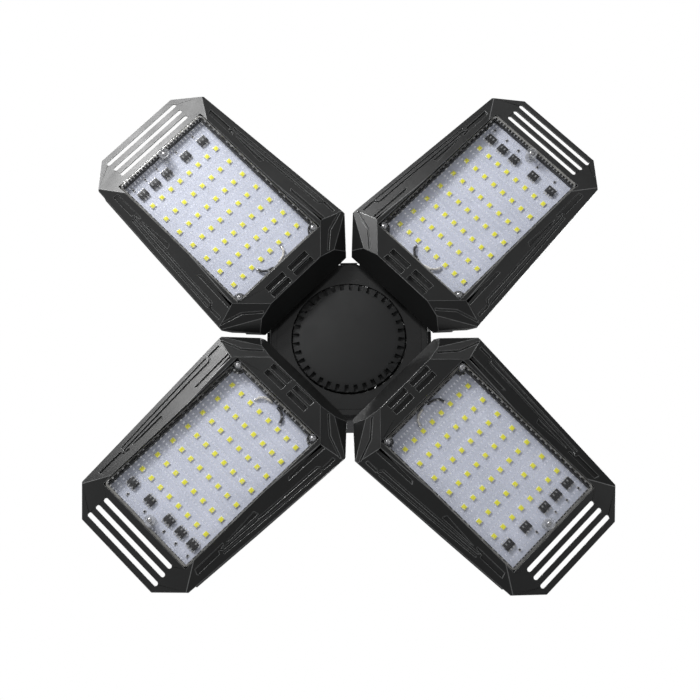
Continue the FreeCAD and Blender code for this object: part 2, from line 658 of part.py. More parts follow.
# corners of the hub, on the diagonals between the wings: hollow blocks with a
# sloping outer edge
df = d("deck_flat")
reach = float(sheet.get("corner_reach_hub")) * R2 - float(sheet.get("deck_flat"))


def four_corners(sk, points):
    for k in range(4):
        rot = FreeCAD.Rotation(V(0, 0, 1), 90.0 * k)
        q = [rot.multVec(V(x, y, 0)) for x, y in points]
        poly(sk, [(v.x, v.y) for v in q], fixed=False)


def raised(name, sk, z0, z1):
    o = extrude(name, sk, z0, z1)
    o.Placement = FreeCAD.Placement(V(0, 0, dim(z0).value), FreeCAD.Rotation(V(0, 0, 1), 45.0))
    if "Dimensions." in dim(z0).text:
        o.setExpression("Placement.Base.z", dim(z0).text + " * 1 mm")
    return o


dfv = df.value
sk = loose_sketch("hub_corner_plan")
four_corners(sk, [(dfv, 14.2), (dfv, reach), (reach, dfv), (14.2, dfv), (14.2, 23.4), (19.4, 19.4), (23.4, 14.2)])
corner_block = raised("hub_corner_block", sk, d("ledge_face"), hsplit)
sk = loose_sketch("hub_corner_core_plan")
four_corners(sk, [(dfv - 2.0, 16.2), (dfv - 2.0, reach - 0.83), (reach - 0.83, dfv - 2.0), (16.2, dfv - 2.0),
                  (16.2, 24.8), (21.0, 21.0), (24.8, 16.2)])
corner_core = raised("hub_corner_core", sk, -48.6, -39.0)
slopes, pillars = [], []
for k, az in enumerate((0, 90, 180, -90)):
    rot = FreeCAD.Rotation(V(0, 0, 1), az)
    n = rot.multVec(V(2.0, 0, -1.0))
    q = rot.multVec(V(37.2, 0, 0))
    slopes.append(block_beyond("hub_corner_slope_%d" % k, (q.x, q.y, -51.4), (n.x, n.y, n.z)))
    # upright pillar with a sloping top
    p1 = box("hub_pillar_%d" % k, 0, 3.85, 0, 8.4, 0, 29.0)
    p1.Placement = FreeCAD.Placement(rot.multVec(V(35.4, -4.2, -49.0)), rot)
    n = rot.multVec(V(-0.5, 0, 1.0))
    q = rot.multVec(V(39.25, 0, 0))
    pillars.append(cut("hub_pillar_cut_%d" % k, p1, block_beyond("hub_pillar_slope_%d" % k, (q.x, q.y, -20.0), (n.x, n.y, n.z))))
corners = cut("hub_corners", corner_block, fuse("hub_corner_tools", [corner_core] + slopes))
# thin deck around the cap
sk = loose_sketch("hub_deck_plan")
poly(sk, [(31.3, -17.35), (31.3, 17.35), (17.35, 31.3), (-17.35, 31.3), (-31.3, 17.35), (-31.3, -17.35), (-17.35, -31.3), (17.35, -31.3)])
circle(sk, 0.0, 0.0, d("deck_hole"))
deck_plate = raised("hub_deck_plate", sk, d("deck_face"), d("deck_back"))
# its face rises gently away from the cap
deck_cone = doc.addObject("Part::Cone", "hub_deck_cone")
slope = float(sheet.get("deck_slope"))
deck_cone.Radius1, deck_cone.Radius2, deck_cone.Height = 0.0, 3.2 / slope, 3.2
deck_cone.Placement = FreeCAD.Placement(V(0, 0, float(sheet.get("deck_face")) - slope * float(sheet.get("deck_hole"))), FreeCAD.Rotation())
deck_cone.setExpression("Radius2", "3.2 mm / Dimensions.deck_slope")
deck_cone.setExpression("Placement.Base.z", "(Dimensions.deck_face - Dimensions.deck_slope * Dimensions.deck_hole) * 1 mm")
deck = doc.addObject("Part::Common", "hub_deck")
deck.Base = deck_plate
deck.Tool = deck_cone
low_b = cut("hub_low_notched", octagon, fuse("hub_low_notches", low_cut))
lugs = []
for k, az in enumerate((45, 135, -135, -45)):
    rot = FreeCAD.Rotation(V(0, 0, 1), az)
    for s, y0 in enumerate((d("lug_start").value, -d("lug_end").value)):
        w = d("lug_end").value - d("lug_start").value
        c1 = cyl("hub_lug_%d%d" % (k, s), d("barrel_radius"), d("lug_end") - d("lug_start"), 0, 0, 0, "y")
        c1.Placement = FreeCAD.Placement(rot.multVec(V(d("hinge_reach").value, y0, zc.value)), rot * FreeCAD.Rotation(V(1, 0, 0), -90))
        b1 = box("hub_neck_%d%d" % (k, s), 0, 4.6, 0, d("lug_end") - d("lug_start"), 0, 4.6)
        b1.Placement = FreeCAD.Placement(rot.multVec(V(23.9, y0, -46.4)), rot)
        b2 = box("hub_foot_%d%d" % (k, s), 0, 3.2, 0, d("lug_end") - d("lug_start"), 0, 3.1)
        b2.Placement = FreeCAD.Placement(rot.multVec(V(28.0, y0, -51.6)), rot)
        lugs += [c1, b1, b2]
low_c = fuse("hub_low_lugged", [low_b, corners, deck] + pillars + lugs)
low_tools = [cyl("hub_cavity", 21.6, 10.0, 0, 0, hubf + 2.4)]
hub_screw_spots = [(12.0, 12.0), (-12.0, 12.0), (-12.0, -12.0), (12.0, -12.0)]
# the same four spots after the upper housing's turn of 45 degrees
for i, (x, y) in enumerate(((16.971, 0.0), (0.0, 16.971), (-16.971, 0.0), (0.0, -16.971))):
    low_tools.append(cyl("hub_hole_%d" % i, 1.5, 6.0, x, y, -48.0))
low_tools.append(cyl("hub_wire_hole", 4.0, 6.0, 0, 0, -48.0))
for k, az in enumerate((45, 135, -135, -45)):
    rot = FreeCAD.Rotation(V(0, 0, 1), az)
    c1 = cyl("hub_pin_hole_%d" % k, d("pin_radius"), 27.0, 0, 0, 0, "y")
    c1.Placement = FreeCAD.Placement(rot.multVec(V(d("hinge_reach").value, -13.5, zc.value)), rot * FreeCAD.Rotation(V(1, 0, 0), -90))
    low_tools.append(c1)
lower = cut("lower_housing", low_c, fuse("hub_low_tools", low_tools))

# hub seal, a square ring between the housings
hub_seal = cut("hub_seal", box("hub_seal_outer", -24.2, 24.2, -24.2, 24.2, hsplit, d("seal_top")),
               box("hub_seal_inner", -22.6, 22.6, -22.6, 22.6, -45.0, -35.0))

# upper housing: a tapered square shell with vents and screw posts
ub, ut, utop = d("upper_base_half"), d("upper_top_half"), d("upper_top")
wg = d("wall_gauge")


def wedge(name, half0, half1, z0, z1):
    o = doc.addObject("Part::Wedge", name)
    for prop, size in (("Xmin", -half0), ("Xmax", half0), ("Zmin", -half0), ("Zmax", half0),
                       ("X2min", -half1), ("X2max", half1), ("Z2min", -half1), ("Z2max", half1),
                       ("Ymin", z0), ("Ymax", z1)):
        size = dim(size)
        setattr(o, prop, size.value)
        if "Dimensions." in size.text:
            o.setExpression(prop, size.text + " * 1 mm")
    o.Placement = FreeCAD.Placement(V(0, 0, 0), FreeCAD.Rotation(V(1, 0, 0), 90))
    return o


def rounded(name, base, radius):
    """Round the four upright corner edges."""
    doc.recompute()
    ids = []
    for i, e in enumerate(base.Shape.Edges, start=1):
        a, b = e.Vertexes[0].Point, e.Vertexes[-1].Point
        if abs(a.z - b.z) > 5.0:
            ids.append((i, radius, radius))
    if len(ids) != 4:
        raise RuntimeError(name + ": expected four upright edges, found %d" % len(ids))
    o = doc.addObject("Part::Fillet", name)
    o.Base = base
    o.Edges = ids
    return o


up_out = rounded("upper_outer_round", wedge("upper_outer", ub, ut, d("seal_top"), utop), 5.0)
up_in = rounded("upper_inner_round", wedge("upper_inner", ub - wg, ut - wg, d("seal_top"), utop - wg), 3.0)
up_shell = cut("upper_shell", up_out, up_in)
posts = [cyl("upper_post_%d" % i, 3.0, 15.0, x, y, hubf + 2.4) for i, (x, y) in enumerate(hub_screw_spots)]
bars = [box("upper_bar_%d" % i, x0, x1, y0, y1, -36.0, -33.0) for i, (x0, x1, y0, y1) in enumerate((
    (14.0, 23.4, 11.2, 12.8), (-23.4, -14.0, 11.2, 12.8), (-23.4, -14.0, -12.8, -11.2), (14.0, 23.4, -12.8, -11.2)))]
up_union = fuse("upper_union", [up_shell] + posts + bars)
up_tools = [cyl("upper_neck_hole", 12.0, 10.0, 0, 0, -18.0)]
for i, (x, y) in enumerate(hub_screw_spots):
    up_tools.append(cyl("upper_thread_%d" % i, 1.25, 10.0, x, y, -45.0))
for i, y in enumerate((-8.0, -4.0, 0.0, 4.0, 8.0)):
    up_tools.append(box("upper_vent_x%d" % i, -30.0, 30.0, y - 0.9, y + 0.9, -33.5, -20.5))
    up_tools.append(box("upper_vent_y%d" % i, y - 0.9, y + 0.9, -30.0, 30.0, -33.5, -20.5))
upper = cut("upper_housing_square", up_union, fuse("upper_tools", up_tools))
# the square hub faces the wings, so the housings turn by 45 degrees
upper_housing = group("upper_housing", [upper])
upper_housing.Placement = FreeCAD.Placement(V(0, 0, 0), FreeCAD.Rotation(V(0, 0, 1), 45.0))
hub_seal_ring = group("hub_seal_ring", [hub_seal])
hub_seal_ring.Placement = FreeCAD.Placement(V(0, 0, 0), FreeCAD.Rotation(V(0, 0, 1), 45.0))

# collar between the housing and the screw base
cl0, cl1 = d("collar_low"), d("collar_high")
collar = turned("base_collar", [(cl0 - 2.2, utop), (cl0 + 1.2, utop), (cl0 + 1.2, utop + 2.0), (cl0, utop + 3.0),
                                (cl1 + 0.4, -3.0), (cl1 + 0.4, -1.0), (cl1 - 0.4, 0), (11.4, 0), (11.4, -3.0),
                                (cl1 - 2.2, -3.6)])

# threaded shell: plain skirt, ring threads and a shoulder under the insulator
skr, skl = d("skirt_radius"), d("skirt_length")
cr, vr, tp, sg = d("crest_radius"), d("valley_radius"), d("thread_pitch"), d("shell_gauge")
outer_pts = [(skr, 0), (skr, skl), (vr + 0.1, skl + 0.7)]
inner_pts = [(skr - sg, 0), (skr - sg, skl), (vr - sg, skl + 0.9)]
for k in range(4):
    z0 = skl + 1.0 + tp * k
    outer_pts += [(vr, z0 + 0.3), (cr - 0.25, z0 + 1.2), (cr, z0 + 1.7), (cr - 0.25, z0 + 2.2), (vr, z0 + 3.1)]
    inner_pts += [(vr - sg, z0 + 0.4), (cr - 0.25 - sg, z0 + 1.3), (cr - sg, z0 + 1.7), (cr - 0.25 - sg, z0 + 2.1), (vr - sg, z0 + 3.0)]
outer_pts += [(vr - 0.3, 21.0), (10.4, 22.6), (8.2, 23.4)]
inner_pts += [(vr - 0.3 - sg, 20.7), (9.9, 22.0), (8.2, 22.7)]
shell = turned("screw_shell", outer_pts + inner_pts[::-1])
insulator = turned("base_insulator", [(4.0, 20.6), (8.2, 20.6), (8.2, 23.4), (6.6, 25.2), (5.0, 25.6), (4.0, 25.6)])
contact = turned("centre_contact", [(0, 21.0), (1.6, 21.0), (3.6, 24.6), (3.98, 25.6), (4.7, 25.7), (4.4, 26.2), (2.6, 26.6), (0, d("contact_top"))])

# driver board and its components, inside the upper housing
db = new_body("driver_board_plate")
sk = body_sketch(db, "driver_board_plan", "XY_Plane", -37.6)
poly(sk, [(-19.5, -19.5), (19.5, -19.5), (19.5, 19.5), (-19.5, 19.5)])
for x, y in hub_screw_spots:
    circle(sk, x, y, 3.1)
pad(db, "driver_board_pad", sk, 1.6)
driver_board = group("driver_board", [db])
driver_board.Placement = FreeCAD.Placement(V(0, 0, 0), FreeCAD.Rotation(V(0, 0, 1), 45.0))
comp = [cyl("capacitor_a", 4.0, 13.0, -3.0, 10.0, -36.0), cyl("capacitor_b", 3.2, 11.0, 5.0, -10.5, -36.0),
        box("transformer", -6.0, 7.0, -5.0, 6.0, -36.0, -25.0), box("bridge", -16.8, -11.2, -3.0, 3.0, -36.0, -33.0),
        cyl("inductor", 3.6, 9.0, 12.6, 0.0, -36.0), cyl("fuse_link", 1.6, 7.0, -8.0, -7.5, -34.4, "x")]
driver_components = group("driver_components", comp)
driver_components.Placement = FreeCAD.Placement(V(0, 0, 0), FreeCAD.Rotation(V(0, 0, 1), 45.0))

base_wires = doc.addObject("Part::Feature", "base_lead_wires")
base_wires.Shape = Part.makeCompound([
    wire([(9.5, 6.9, -36.0), (9.5, 6.9, -20.0), (0.0, 0.6, -10.0), (0.0, 0.0, 10.0), (0.0, 0.0, 21.0)], 0.7, 4.0),
    wire([(-9.5, -9.0, -36.0), (-9.0, -8.4, -18.0), (-5.6, -5.2, -10.0), (-6.9, -6.9, 0.5), (-7.4, -7.4, 6.0)], 0.7, 2.0)])
base_wires.Placement = FreeCAD.Placement(V(0, 0, 0), FreeCAD.Rotation(V(0, 0, 1), 45.0))

screws = []
for i, (x, y) in enumerate(hub_screw_spots):
    screws.append(fuse("hub_screw_%d" % i, [cyl("hub_screw_head_%d" % i, 2.6, 1.7, x, y, -48.1),
                                            cyl("hub_screw_shank_%d" % i, 1.25, 11.0, x, y, -46.6)]))
hub_screws = group("hub_screws", screws)
hub_screws.Placement = FreeCAD.Placement(V(0, 0, 0), FreeCAD.Rotation(V(0, 0, 1), 45.0))
doc.recompute()

# --------------------------------------------------- sub-parts, in their places
PARTS = {}


def keep(name, obj):
    obj.Label = name
    PARTS[name] = obj


def wing_place(az, tilt):
    hinge = V(float(sheet.get("hinge_reach")), 0, float(sheet.get("hinge_rise")))
    t = FreeCAD.Placement(hinge, FreeCAD.Rotation()) \
        * FreeCAD.Placement(V(0, 0, 0), FreeCAD.Rotation(V(0, 1, 0), tilt)) \
        * FreeCAD.Placement(-hinge, FreeCAD.Rotation())
    turn = FreeCAD.Placement(V(0, 0, 0), FreeCAD.Rotation(V(0, 0, 1), az))
    drop = FreeCAD.Placement(V(0, 0, float(sheet.get("chip_plane"))), FreeCAD.Rotation())
    return drop * turn * t


WINGS = (("front_left", -135.0, "tilt_fl"), ("front_right", -45.0, "tilt_fr"),
         ("rear_left", 135.0, "tilt_rl"), ("rear_right", 45.0, "tilt_rr"))
MASTERS = (("frame", wing_frame), ("rear_housing", wing_housing), ("lens", lens_body), ("board", board_body),
           ("leds", chips), ("driver_ics", wing_regs), ("lens_screws", wing_lens_screws), ("seal", wing_seal),
           ("lead_wires", wing_wires), ("housing_screws", wing_housing_screws))
for wing, az, tilt in WINGS:
    for piece, master in MASTERS:
        o = group(wing + "_" + piece, [master])
        o.Placement = wing_place(az, float(sheet.get(tilt)))
        keep(wing + "_" + piece, o)
    for piece, master in (("hinge_pin", pin_body), ("friction_washers", wing_washers)):
        o = group(wing + "_" + piece, [master])
        o.Placement = wing_place(az, 0.0)
        keep(wing + "_" + piece, o)

keep("centre_cap", cap)
keep("lower_housing", lower)
keep("hub_seal", hub_seal_ring)
keep("upper_housing", upper_housing)
keep("base_collar", collar)
keep("screw_shell", shell)
keep("base_insulator", insulator)
keep("centre_contact", contact)
keep("driver_board", driver_board)
keep("driver_components", driver_components)
keep("base_lead_wires", base_wires)
keep("hub_screws", hub_screws)
doc.recompute()

bad = []
for o in doc.Objects:
    if "Invalid" in o.State or "Error" in o.State:
        bad.append(o.Name + " " + ",".join(o.State))
for name, o in PARTS.items():
    s = o.Shape
    if s.isNull() or not s.isValid() or s.Volume <= 0 or not s.Solids:
        bad.append(name + " has no valid solid")
if bad:
    raise RuntimeError("failed objects: " + "; ".join(bad))
if len(PARTS) > 60:
    raise RuntimeError("too many sub-parts")

os.makedirs("parts", exist_ok=True)
for name, o in sorted(PARTS.items()):
    o.Shape.exportStep("parts/" + name + ".step")
total = 0.0
for name, o in sorted(PARTS.items()):
    b = o.Shape.BoundBox
    total += o.Shape.Volume
    print("%-34s solids %2d  volume %9.1f  x %.1f..%.1f y %.1f..%.1f z %.1f..%.1f" % (
        name, len(o.Shape.Solids), o.Shape.Volume, b.XMin, b.XMax, b.YMin, b.YMax, b.ZMin, b.ZMax))
print("sub-parts", len(PARTS), "volume", round(total, 1))
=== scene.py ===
import math

import bmesh
import bpy
from mathutils import Matrix, Vector


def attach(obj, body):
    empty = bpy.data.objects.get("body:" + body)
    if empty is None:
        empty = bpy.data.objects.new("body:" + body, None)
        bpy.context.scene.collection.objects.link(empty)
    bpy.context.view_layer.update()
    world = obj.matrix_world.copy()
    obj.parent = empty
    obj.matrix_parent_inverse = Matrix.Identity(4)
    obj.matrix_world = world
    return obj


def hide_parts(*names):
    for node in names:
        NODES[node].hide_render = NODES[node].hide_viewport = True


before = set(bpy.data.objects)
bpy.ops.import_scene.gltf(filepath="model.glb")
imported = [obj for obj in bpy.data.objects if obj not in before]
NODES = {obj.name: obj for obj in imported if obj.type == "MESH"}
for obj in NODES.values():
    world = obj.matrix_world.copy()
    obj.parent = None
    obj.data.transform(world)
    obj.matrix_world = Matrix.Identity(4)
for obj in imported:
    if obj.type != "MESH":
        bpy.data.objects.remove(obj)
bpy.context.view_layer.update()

MM = 0.001

# ------------------------------------------------------------------ the camera
# the light hangs with its chips facing down, and the camera looks up at it
CHIP_PLANE = -60.0


def rot3(rx, ry, rz):
    return (Matrix.Rotation(math.radians(rz), 3, "Z") @ Matrix.Rotation(math.radians(ry), 3, "Y")
            @ Matrix.Rotation(math.radians(rx), 3, "X"))


R = rot3(-15.695, -0.904, 0.496)
centre = R.transposed() @ Vector((0.640, -7.639, 576.13))
flip = Matrix(((1, 0, 0), (0, -1, 0), (0, 0, -1)))
axes = [flip @ Vector(R[i]) for i in range(3)]
cam_data = bpy.data.cameras.new("camera")
cam = bpy.data.objects.new("camera", cam_data)
bpy.context.scene.collection.objects.link(cam)
turn = Matrix((axes[0], axes[1], axes[2])).transposed()
cam.matrix_world = Matrix.Translation(Vector((centre.x, -centre.y, CHIP_PLANE - centre.z)) * MM) @ turn.to_4x4()
cam_data.sensor_width = 36.0
cam_data.lens = 36.0 * 1225.55 / 700.0
cam_data.clip_start, cam_data.clip_end = 0.01, 100.0
bpy.context.scene.camera = cam

# --------------------------------------------------------------- mesh helpers
WINGS = {"front_left": (-135.0, 2.725), "front_right": (-45.0, -0.763),
         "rear_left": (135.0, 3.253), "rear_right": (45.0, -2.951)}
HINGE = Vector((28.5, 0.0, 12.5))


def wing_matrix(wing):
    """From a wing's own millimetres to the row frame in metres."""
    az, tilt = WINGS[wing]
    return (Matrix.Scale(MM, 4) @ Matrix.Translation((0, 0, CHIP_PLANE)) @ Matrix.Rotation(math.radians(az), 4, "Z")
            @ Matrix.Translation(HINGE) @ Matrix.Rotation(math.radians(tilt), 4, "Y") @ Matrix.Translation(-HINGE))


def new_object(name, verts, faces, matrix=None, smooth=None):
    me = bpy.data.meshes.new(name)
    if matrix is not None:
        verts = [matrix @ Vector(v) for v in verts]
    me.from_pydata([tuple(v) for v in verts], [], faces)
    me.validate()
    ob = bpy.data.objects.new(name, me)
    bpy.context.scene.collection.objects.link(ob)
    if smooth is not None:
        shade(ob, smooth)
    return ob


def shade(ob, angle=30.0):
    """Smooth shading with the edges over the angle kept sharp."""
    me = ob.data
    bm = bmesh.new()
    bm.from_mesh(me)
    limit = math.radians(angle)
    for f in bm.faces:
        f.smooth = True
    for e in bm.edges:
        e.smooth = not (len(e.link_faces) == 2 and e.calc_face_angle(0.0) > limit)
    bm.to_mesh(me)
    bm.free()


class Shape:
    """Collects closed shells, each put in place as it comes."""

    def __init__(self):
        self.verts, self.faces = [], []

    def add(self, verts, faces, matrix=None):
        base = len(self.verts)
        for v in verts:
            v = Vector(v)
            self.verts.append(matrix @ v if matrix is not None else v)
        self.faces += [tuple(i + base for i in f) for f in faces]
        return self

    def lathe(self, profile, seg=32, matrix=None):
        """A closed shell: the profile of (radius, height) goes round the z axis."""
        verts, rings = [], []
        for r, z in profile:
            if r < 1e-9:
                rings.append([len(verts)])
                verts.append((0.0, 0.0, z))
            else:
                rings.append(list(range(len(verts), len(verts) + seg)))
                for k in range(seg):
                    a = 2 * math.pi * k / seg
                    verts.append((r * math.cos(a), r * math.sin(a), z))
        faces = []
        for a, b in zip(rings, rings[1:]):
            for k in range(seg):
                k2 = (k + 1) % seg
                if len(a) == 1 and len(b) == 1:
                    continue
                if len(a) == 1:
                    faces.append((a[0], b[k2], b[k]))
                elif len(b) == 1:
                    faces.append((a[k], a[k2], b[0]))
                else:
                    faces.append((a[k], a[k2], b[k2], b[k]))
        return self.add(verts, faces, matrix)

    def block(self, x0, x1, y0, y1, z0, z1, c=0.0, matrix=None):
        """A box with its edges chamfered by c."""
        if c <= 0:
            vs = [(x, y, z) for z in (z0, z1) for y in (y0, y1) for x in (x0, x1)]
            fs = [(0, 2, 3, 1), (4, 5, 7, 6), (0, 1, 5, 4), (2, 6, 7, 3), (0, 4, 6, 2), (1, 3, 7, 5)]
            return self.add(vs, fs, matrix)
        bm = bmesh.new()
        bmesh.ops.create_cube(bm, size=1.0)
        for v in bm.verts:
            v.co = Vector((x0 + (v.co.x + 0.5) * (x1 - x0), y0 + (v.co.y + 0.5) * (y1 - y0), z0 + (v.co.z + 0.5) * (z1 - z0)))
        bmesh.ops.bevel(bm, geom=list(bm.edges), offset=c, segments=2, profile=0.6, affect="EDGES")
        bm.verts.index_update()
        self.add([v.co.copy() for v in bm.verts], [tuple(v.index for v in f.verts) for f in bm.faces], matrix)
        bm.free()
        return self

    def tube(self, points, radius, seg=12, matrix=None):
        """A closed round tube along the points."""
        p = [Vector(q) for q in points]
        verts, rings = [], []
        up = None
        for i, q in enumerate(p):
            t = (p[min(i + 1, len(p) - 1)] - p[max(i - 1, 0)]).normalized()
            if up is None:
                up = t.orthogonal().normalized()
            up = (up - t * up.dot(t)).normalized()
            side = t.cross(up)
            rings.append(list(range(len(verts), len(verts) + seg)))
            for k in range(seg):
                a = 2 * math.pi * k / seg
                verts.append(q + (up * math.cos(a) + side * math.sin(a)) * radius)
        faces = [tuple(reversed(rings[0])), tuple(rings[-1])]
        for a, b in zip(rings, rings[1:]):
            for k in range(seg):
                k2 = (k + 1) % seg
                faces.append((a[k], a[k2], b[k2], b[k]))
        return self.add(verts, faces, matrix)

    def make(self, name, matrix=None, smooth=30.0):
        ob = new_object(name, self.verts, self.faces, matrix)
        bm = bmesh.new()
        bm.from_mesh(ob.data)
        bmesh.ops.recalc_face_normals(bm, faces=bm.faces)
        bm.to_mesh(ob.data)
        bm.free()
        shade(ob, smooth)
        return ob


def edge_room(bm, width, limit):
    """The share of the rounding width that each sharp edge has room for in its two faces."""
    sharp = {e for e in bm.edges if len(e.link_faces) == 2 and e.calc_face_angle(0.0) > limit}
    room = {e: width for e in sharp}
    for f in bm.faces:
        t = f.calc_tangent_edge()
        b = f.normal.cross(t)
        loops = list(f.loops)
        m = len(loops)
        pts = [(q.vert.co.dot(t), q.vert.co.dot(b)) for q in loops]
        segs = []
        for i in range(m):
            (x0, y0), (x1, y1) = pts[i], pts[(i + 1) % m]
            q = max(1e-9, math.hypot(x1 - x0, y1 - y0))
            segs.append((x0, y0, x1, y1, (x1 - x0) / q, (y1 - y0) / q, q, loops[i].edge in sharp))
        for i in range(m):
            if not segs[i][7]:
                continue
            x0, y0, x1, y1, dx, dy, length, _ = segs[i]
            e = loops[i].edge
            shrink = 0.0
            for k, sign in (((i - 1) % m, 1), ((i + 1) % m, -1)):
                if segs[k][7]:
                    cross = sign * (segs[k][4] * dy - segs[k][5] * dx)
                    turn = math.atan2(cross, segs[k][4] * dx + segs[k][5] * dy)
                    shrink += max(0.0, math.tan(min(1.45, turn / 2)))
            if shrink > 1e-6:
                room[e] = min(room[e], 0.8 * length / shrink)
            for j in range(i + 2, m):
                if j - i == m - 1 or not segs[j][7]:
                    continue
                u0, v0, u1, v1, ex, ey, l2, _ = segs[j]
                if dx * ex + dy * ey > -0.1 or ((u0 + u1) / 2 - x0) * -dy + ((v0 + v1) / 2 - y0) * dx < 0:
                    continue
                near = 1e9
                for px, py, (ax, ay, bx, by, gx, gy, gl, _) in ((x0, y0, segs[j]), (x1, y1, segs[j]), (u0, v0, segs[i]), (u1, v1, segs[i])):
                    s = min(gl, max(0.0, (px - ax) * gx + (py - ay) * gy))
                    near = min(near, math.hypot(px - ax - gx * s, py - ay - gy * s))
                room[e] = min(room[e], 0.42 * near)
                other = loops[j].edge
                room[other] = min(room[other], 0.42 * near)
    return {(min(v.index for v in e.verts), max(v.index for v in e.verts)): r / width for e, r in room.items()}


def from_cad(node, name, width=0.2, segments=2, angle=22.0, edge=None):
    """The CAD piece's own surface with its facets joined and its edges rounded."""
    src = NODES[node].data
    bm = bmesh.new()
    bm.from_mesh(src)
    bmesh.ops.remove_doubles(bm, verts=bm.verts, dist=2e-6)
    bmesh.ops.dissolve_limit(bm, angle_limit=math.radians(0.6), verts=bm.verts, edges=bm.edges, delimit=set())
    bm.verts.index_update()
    bm.normal_update()
    room = edge_room(bm, width * MM, math.radians(angle)) if width else {}
    if width:
        bmesh.ops.triangulate(bm, faces=[f for f in bm.faces if len(f.verts) > 4], quad_method="BEAUTY", ngon_method="BEAUTY")
    verts = [v.co.copy() for v in bm.verts]
    faces = [tuple(v.index for v in f.verts) for f in bm.faces]
    bm.free()
    ob = new_object(name, verts, faces)
    for f in ob.data.polygons:
        f.use_smooth = True
    if width:
        weight = ob.data.attributes.new("bevel_weight_edge", "FLOAT", "EDGE")
        for e in ob.data.edges:
            weight.data[e.index].value = room.get((min(e.vertices), max(e.vertices)), 0.0)
        m = ob.modifiers.new("edge", "BEVEL")
        m.width = width * MM
        m.segments = segments
        m.limit_method = "WEIGHT"
        m.use_clamp_overlap = False
        m.harden_normals = True
        m.miter_outer = "MITER_ARC"
        # the rounded edge faces take the lighter second material: a painted highlight along the edges
        if edge:
            ob.data.materials.append(M["frame"])
            ob.data.materials.append(M[edge])
            m.material = 1
        settle(ob)
    else:
        shade(ob, angle)
    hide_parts(node)
    return ob


def settle(ob):
    """Apply the modifiers to the mesh."""
    dg = bpy.context.evaluated_depsgraph_get()
    me = bpy.data.meshes.new_from_object(ob.evaluated_get(dg))
    ob.modifiers.clear()
    ob.data = me
    return ob


